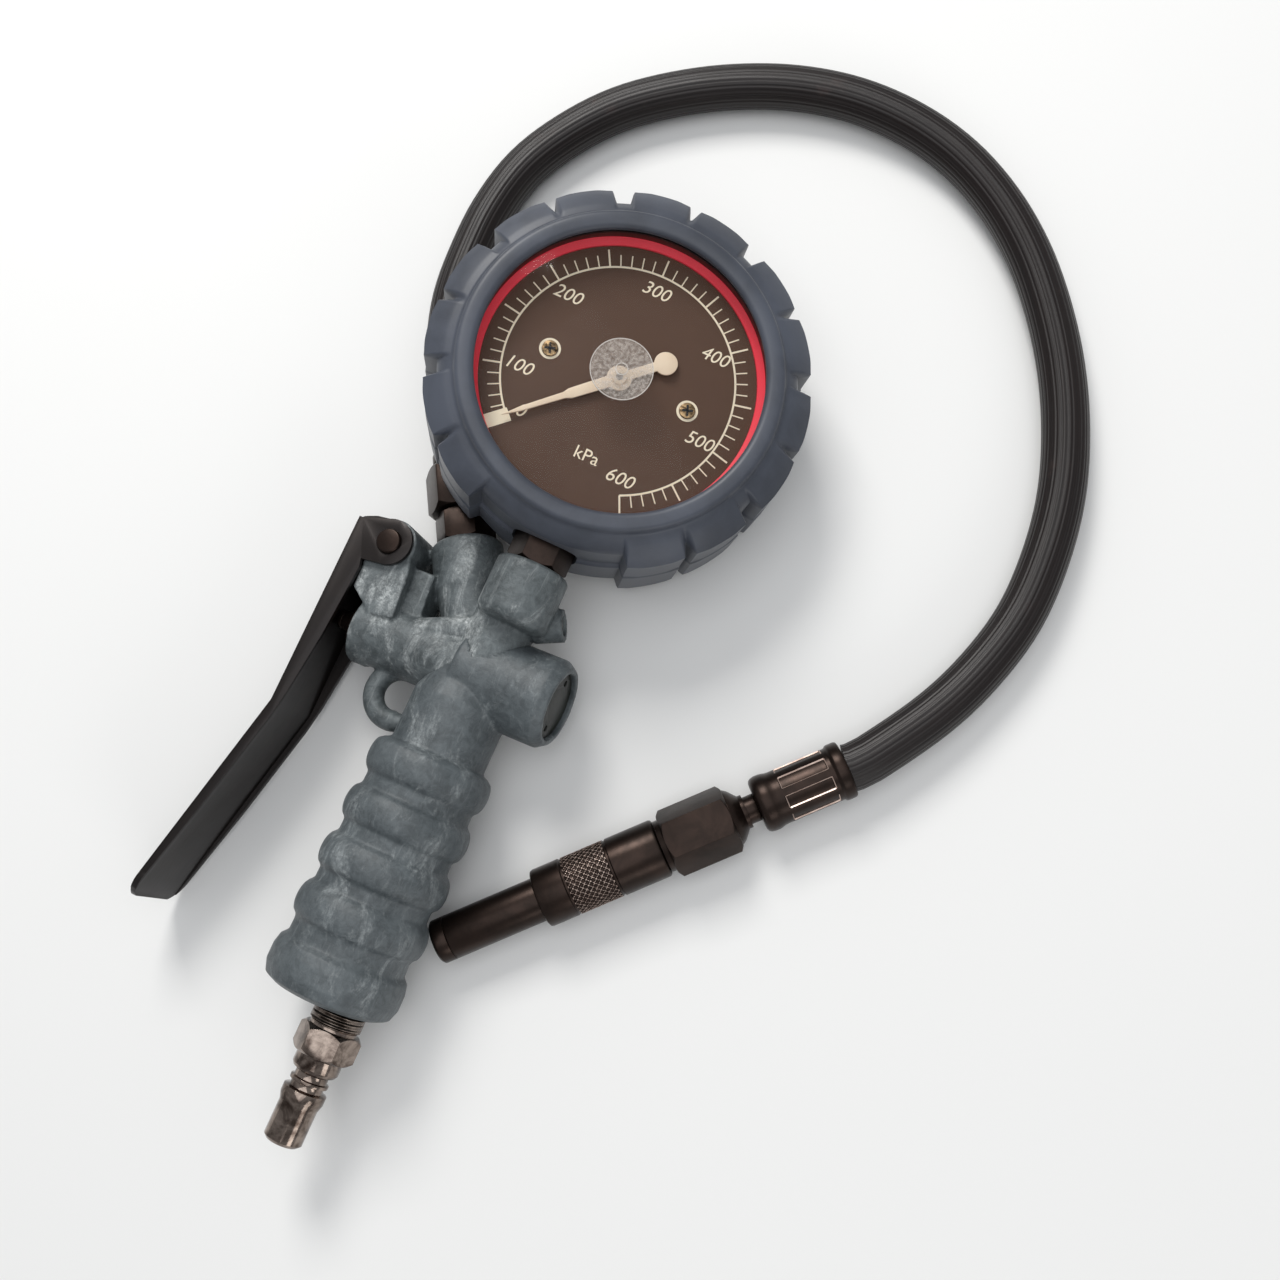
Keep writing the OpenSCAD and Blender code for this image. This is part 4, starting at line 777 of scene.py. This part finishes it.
# lever and small hardware
refine("lever", "squeezeLever", leverSteel, "lever", 0.5, 40, 3)
refine("pivot_pin", "leverPin", blackSteel, edge=0.2)
refine("pivot_clip", "leverClip", plainSteel, edge=0.1)
refine("valve_end_cap", "headPlug", capPlastic, edge=0.3)
refine("blanking_screw", "passageScrew", plainSteel, edge=0.15)
refine("gland_nut", "stemGland", blackSteel, edge=0.3)
refine("stem_button", "stemHead", blackSteel, "valve_stem", 0.2)
refine("inlet_nipple", "airPlug", plugPlating, edge=0.2)
refine("hose_adaptor", "portAdaptor", blackSteel, edge=0.3)
refine("swivel_nut", "unionNut", blackSteel, edge=0.35)
refine("rear_ferrule", "hoseFerrule", blackSteel, edge=0.3)
refine("gauge_socket", "gaugeStem", blackSteel, edge=0.3)
refine("bezel_ring", "gaugeBezel", blackSteel, edge=0.15)
redRing = refine("red_ring", "redRing", redPlastic, edge=0.1)
redRing.data.materials.append(redShade)
fromGauge = gaugePlace.inverted()
wallFoot = min((fromGauge @ vertex.co).z for vertex in redRing.data.vertices) + 1.7
for face in redRing.data.polygons:  # the wall over the ring's sloping face is in shade
    face.material_index = 1 if (fromGauge @ face.center).z > wallFoot else 0
refine("pointer", "dialPointer", pointerCream, "pointer", 0.08)
refine("dial_screws", "dialScrews", oldBrass, edge=0.15)
chuckHex = refine("chuck_body", "chuckHex", blackSteel, edge=0.3)
chuckNose = refine("chuck_nose", "chuckNose", blackSteel, edge=0.2)
tipRing = refine("tip_ring", "chuckTip", blackSteel, edge=0.15)
hoseTail = refine("hose_tail", "chuckTail", blackSteel, edge=0.2)
print("hardware ready")

# chuck sleeve with its knurl
sleeve = {"start": 28.7, "end": 62.2, "radius": 7.6, "noseBore": 5.76, "spineBore": 4.66, "step": 52, "knurlFrom": 37.3,
          "knurlTo": 48.6, "knurlDepth": 0.34, "starts": 30, "segments": 420}


def knurl(angle, radius, height):
    if radius < sleeve["radius"] - 0.05 or not sleeve["knurlFrom"] < height < sleeve["knurlTo"]:
        return radius
    turn = angle * sleeve["starts"]
    climb = height * sleeve["starts"] / sleeve["radius"]
    ridge = min(abs(sin((turn + climb) / 2)), abs(sin((turn - climb) / 2)))
    return radius - sleeve["knurlDepth"] * min(1, ridge * 1.7)


near, far, wide = sleeve["start"], sleeve["end"], sleeve["radius"]
knurlFrom, knurlTo = sleeve["knurlFrom"], sleeve["knurlTo"]
sleeveOutline = [(sleeve["noseBore"], near), (wide - 0.7, near), (wide - 0.2, near + 0.25), (wide, near + 0.8),
                 (wide, knurlFrom - 0.9), (wide - 0.3, knurlFrom - 0.6), (wide - 0.3, knurlFrom - 0.1)]
knurlOutline = [(wide, knurlFrom + (knurlTo - knurlFrom) * k / 76) for k in range(77)]
sleeveEnd = [(wide - 0.3, knurlTo + 0.1), (wide - 0.3, knurlTo + 0.6), (wide, knurlTo + 0.9), (wide, far - 0.8),
             (wide - 0.2, far - 0.25), (wide - 0.7, far), (sleeve["spineBore"], far), (sleeve["spineBore"], sleeve["step"]),
             (sleeve["noseBore"], sleeve["step"]), (sleeve["noseBore"], near)]
sleeveMesh = skinMesh("chuckSleeve", sleeveOutline + knurlOutline + sleeveEnd, sleeve["segments"], chuckPlace, knurl)
smoothShade(sleeveMesh, 32)
chuckSleeve = addPiece("chuckSleeve", sleeveMesh, blackSteel, "chuck_sleeve")
sleeveMesh.materials.append(wornMetal)
backToChuck = chuckPlace.inverted()
for face in sleeveMesh.polygons:  # the knurl's crests are rubbed bright
    spot = backToChuck @ face.center
    if knurlFrom < spot.z < knurlTo and hypot(spot.x, spot.y) > sleeve["radius"] - 0.1:
        face.material_index = 1
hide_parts("chuck_sleeve")

# front ferrule: a round collar, then eight pressed panels
ferrule = {"start": 88.5, "end": 113, "collar": 7.4, "middle": 6.95, "panelFrom": 95.6, "panelTo": 108.4, "panelHalf": 1.75,
           "panelDepth": 0.42, "count": 8}


def pressed(angle, radius, height):
    if radius < ferrule["middle"] - 0.01:
        return radius
    share = 2 * pi / ferrule["count"]
    across = abs(angle % share - share / 2) * ferrule["middle"]
    inside = min(ferrule["panelHalf"] - across, height - ferrule["panelFrom"], ferrule["panelTo"] - height)
    return radius - ferrule["panelDepth"] * easeLine(inside, 0.3)


ferruleSpots = [backToChuck @ vertex.co for vertex in nodes["front_ferrule"].data.vertices]
ferruleBore = min(hypot(spot.x, spot.y) for spot in ferruleSpots)
near, far, wide = ferrule["start"], ferrule["end"], ferrule["collar"]
collarOutline = [(ferruleBore, near), (6.1, near), (6.8, near + 0.35), (7.2, near + 0.95), (wide, near + 1.9), (wide, near + 3.1),
                 (7.25, near + 4.0), (7.02, near + 4.8)]
panelOutline = softened([(ferrule["middle"], near + 5.8), (ferrule["middle"], far - 3.6)], 0.2)
ferruleEnd = [(7.1, far - 3.3), (7.4, far - 3.0), (7.5, far - 2.6), (7.5, far - 0.7), (7.3, far - 0.2), (6.9, far),
              (ferruleBore, far), (ferruleBore, near)]
ferruleMesh = skinMesh("chuckFerrule", collarOutline + panelOutline + ferruleEnd, 400, chuckPlace, pressed)
smoothShade(ferruleMesh, 32)
frontFerrule = addPiece("chuckFerrule", ferruleMesh, blackSteel, "housing")
ferruleMesh.materials.append(wornMetal)
for face in ferruleMesh.polygons:  # the sloping edges of the panels get the bright finish
    spot = backToChuck @ face.center
    depth = ferrule["middle"] - hypot(spot.x, spot.y)
    if ferrule["panelFrom"] - 0.1 < spot.z < ferrule["panelTo"] + 0.1 and 0.08 < depth < ferrule["panelDepth"] - 0.08:
        face.material_index = 1
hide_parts("front_ferrule")
print("chuck ready")

# pieces that keep their CAD shape get their own finish
kept = {brassMetal: ["valve_seat", "inlet_strainer", "bourdon_tube", "movement_back_plate", "movement_front_plate",
                     "movement_pillars", "sector_gear", "depressor_pin"],
        plainSteel: ["poppet_spring", "hairspring", "case_screws", "tip_link", "pinion_arbor", "chuck_jaws", "chuck_spring"],
        sealRubber: ["gland_seal", "end_cap_seal", "stem_seals", "poppet", "lens_gasket", "chuck_seal"],
        blackSteel: ["gauge_case", "valve_stem"], dialEnamel: ["dial_plate"], lensClear: ["lens"]}
for material, names in kept.items():
    for name in names:
        nodes[name].material_slots[0].material = material

# floor and light
studio = {"floorSize": 3.0, "floorColour": (0.80, 0.80, 0.79), "world": (0.95, 0.97, 1.0), "worldPower": 0.42}
floorMesh = bpy.data.meshes.new("floor")
half = studio["floorSize"] / 2
floorCorners = [(across * half, along * half, groundZ) for across, along in ((-1, -1), (1, -1), (1, 1), (-1, 1))]
floorMesh.from_pydata(floorCorners, [], [(0, 1, 2, 3)])
floorObject = bpy.data.objects.new("floor", floorMesh)
bpy.context.scene.collection.objects.link(floorObject)
floorMesh.materials.append(surface("paleFloor", {"Base Color": studio["floorColour"], "Roughness": 0.8})[0])


def addLamp(name, place, aim, size, power, colour):
    light = bpy.data.lights.new(name, "AREA")
    light.shape = "RECTANGLE"
    light.size, light.size_y = size
    light.energy = power
    light.color = colour
    lamp = bpy.data.objects.new(name, light)
    lamp.location = place
    lamp.rotation_euler = (Vector(aim) - Vector(place)).to_track_quat("-Z", "Y").to_euler()
    bpy.context.scene.collection.objects.link(lamp)


lamps = [("keyLight", (-0.45, 0.75, 0.75), (0.02, 0.15, 0), (0.40, 0.40), 7.5, (1.0, 0.985, 0.96)),
         ("skyPanel", (0.1, 0.1, 1.1), (0.03, 0.15, 0), (1.0, 1.0), 4.5, (0.97, 0.98, 1.0)),
         ("lowFill", (0.7, -0.4, 0.35), (0.03, 0.15, 0), (0.5, 0.3), 1.2, (1.0, 0.99, 0.97))]
for lamp in lamps:
    addLamp(*lamp)
world = bpy.data.worlds.new("studio")
bpy.context.scene.world = world
world.use_nodes = True
world.node_tree.nodes["Background"].inputs[0].default_value = (*studio["world"], 1)
world.node_tree.nodes["Background"].inputs[1].default_value = studio["worldPower"]
bpy.context.scene.view_settings.view_transform = "Standard"

print("scene ready")
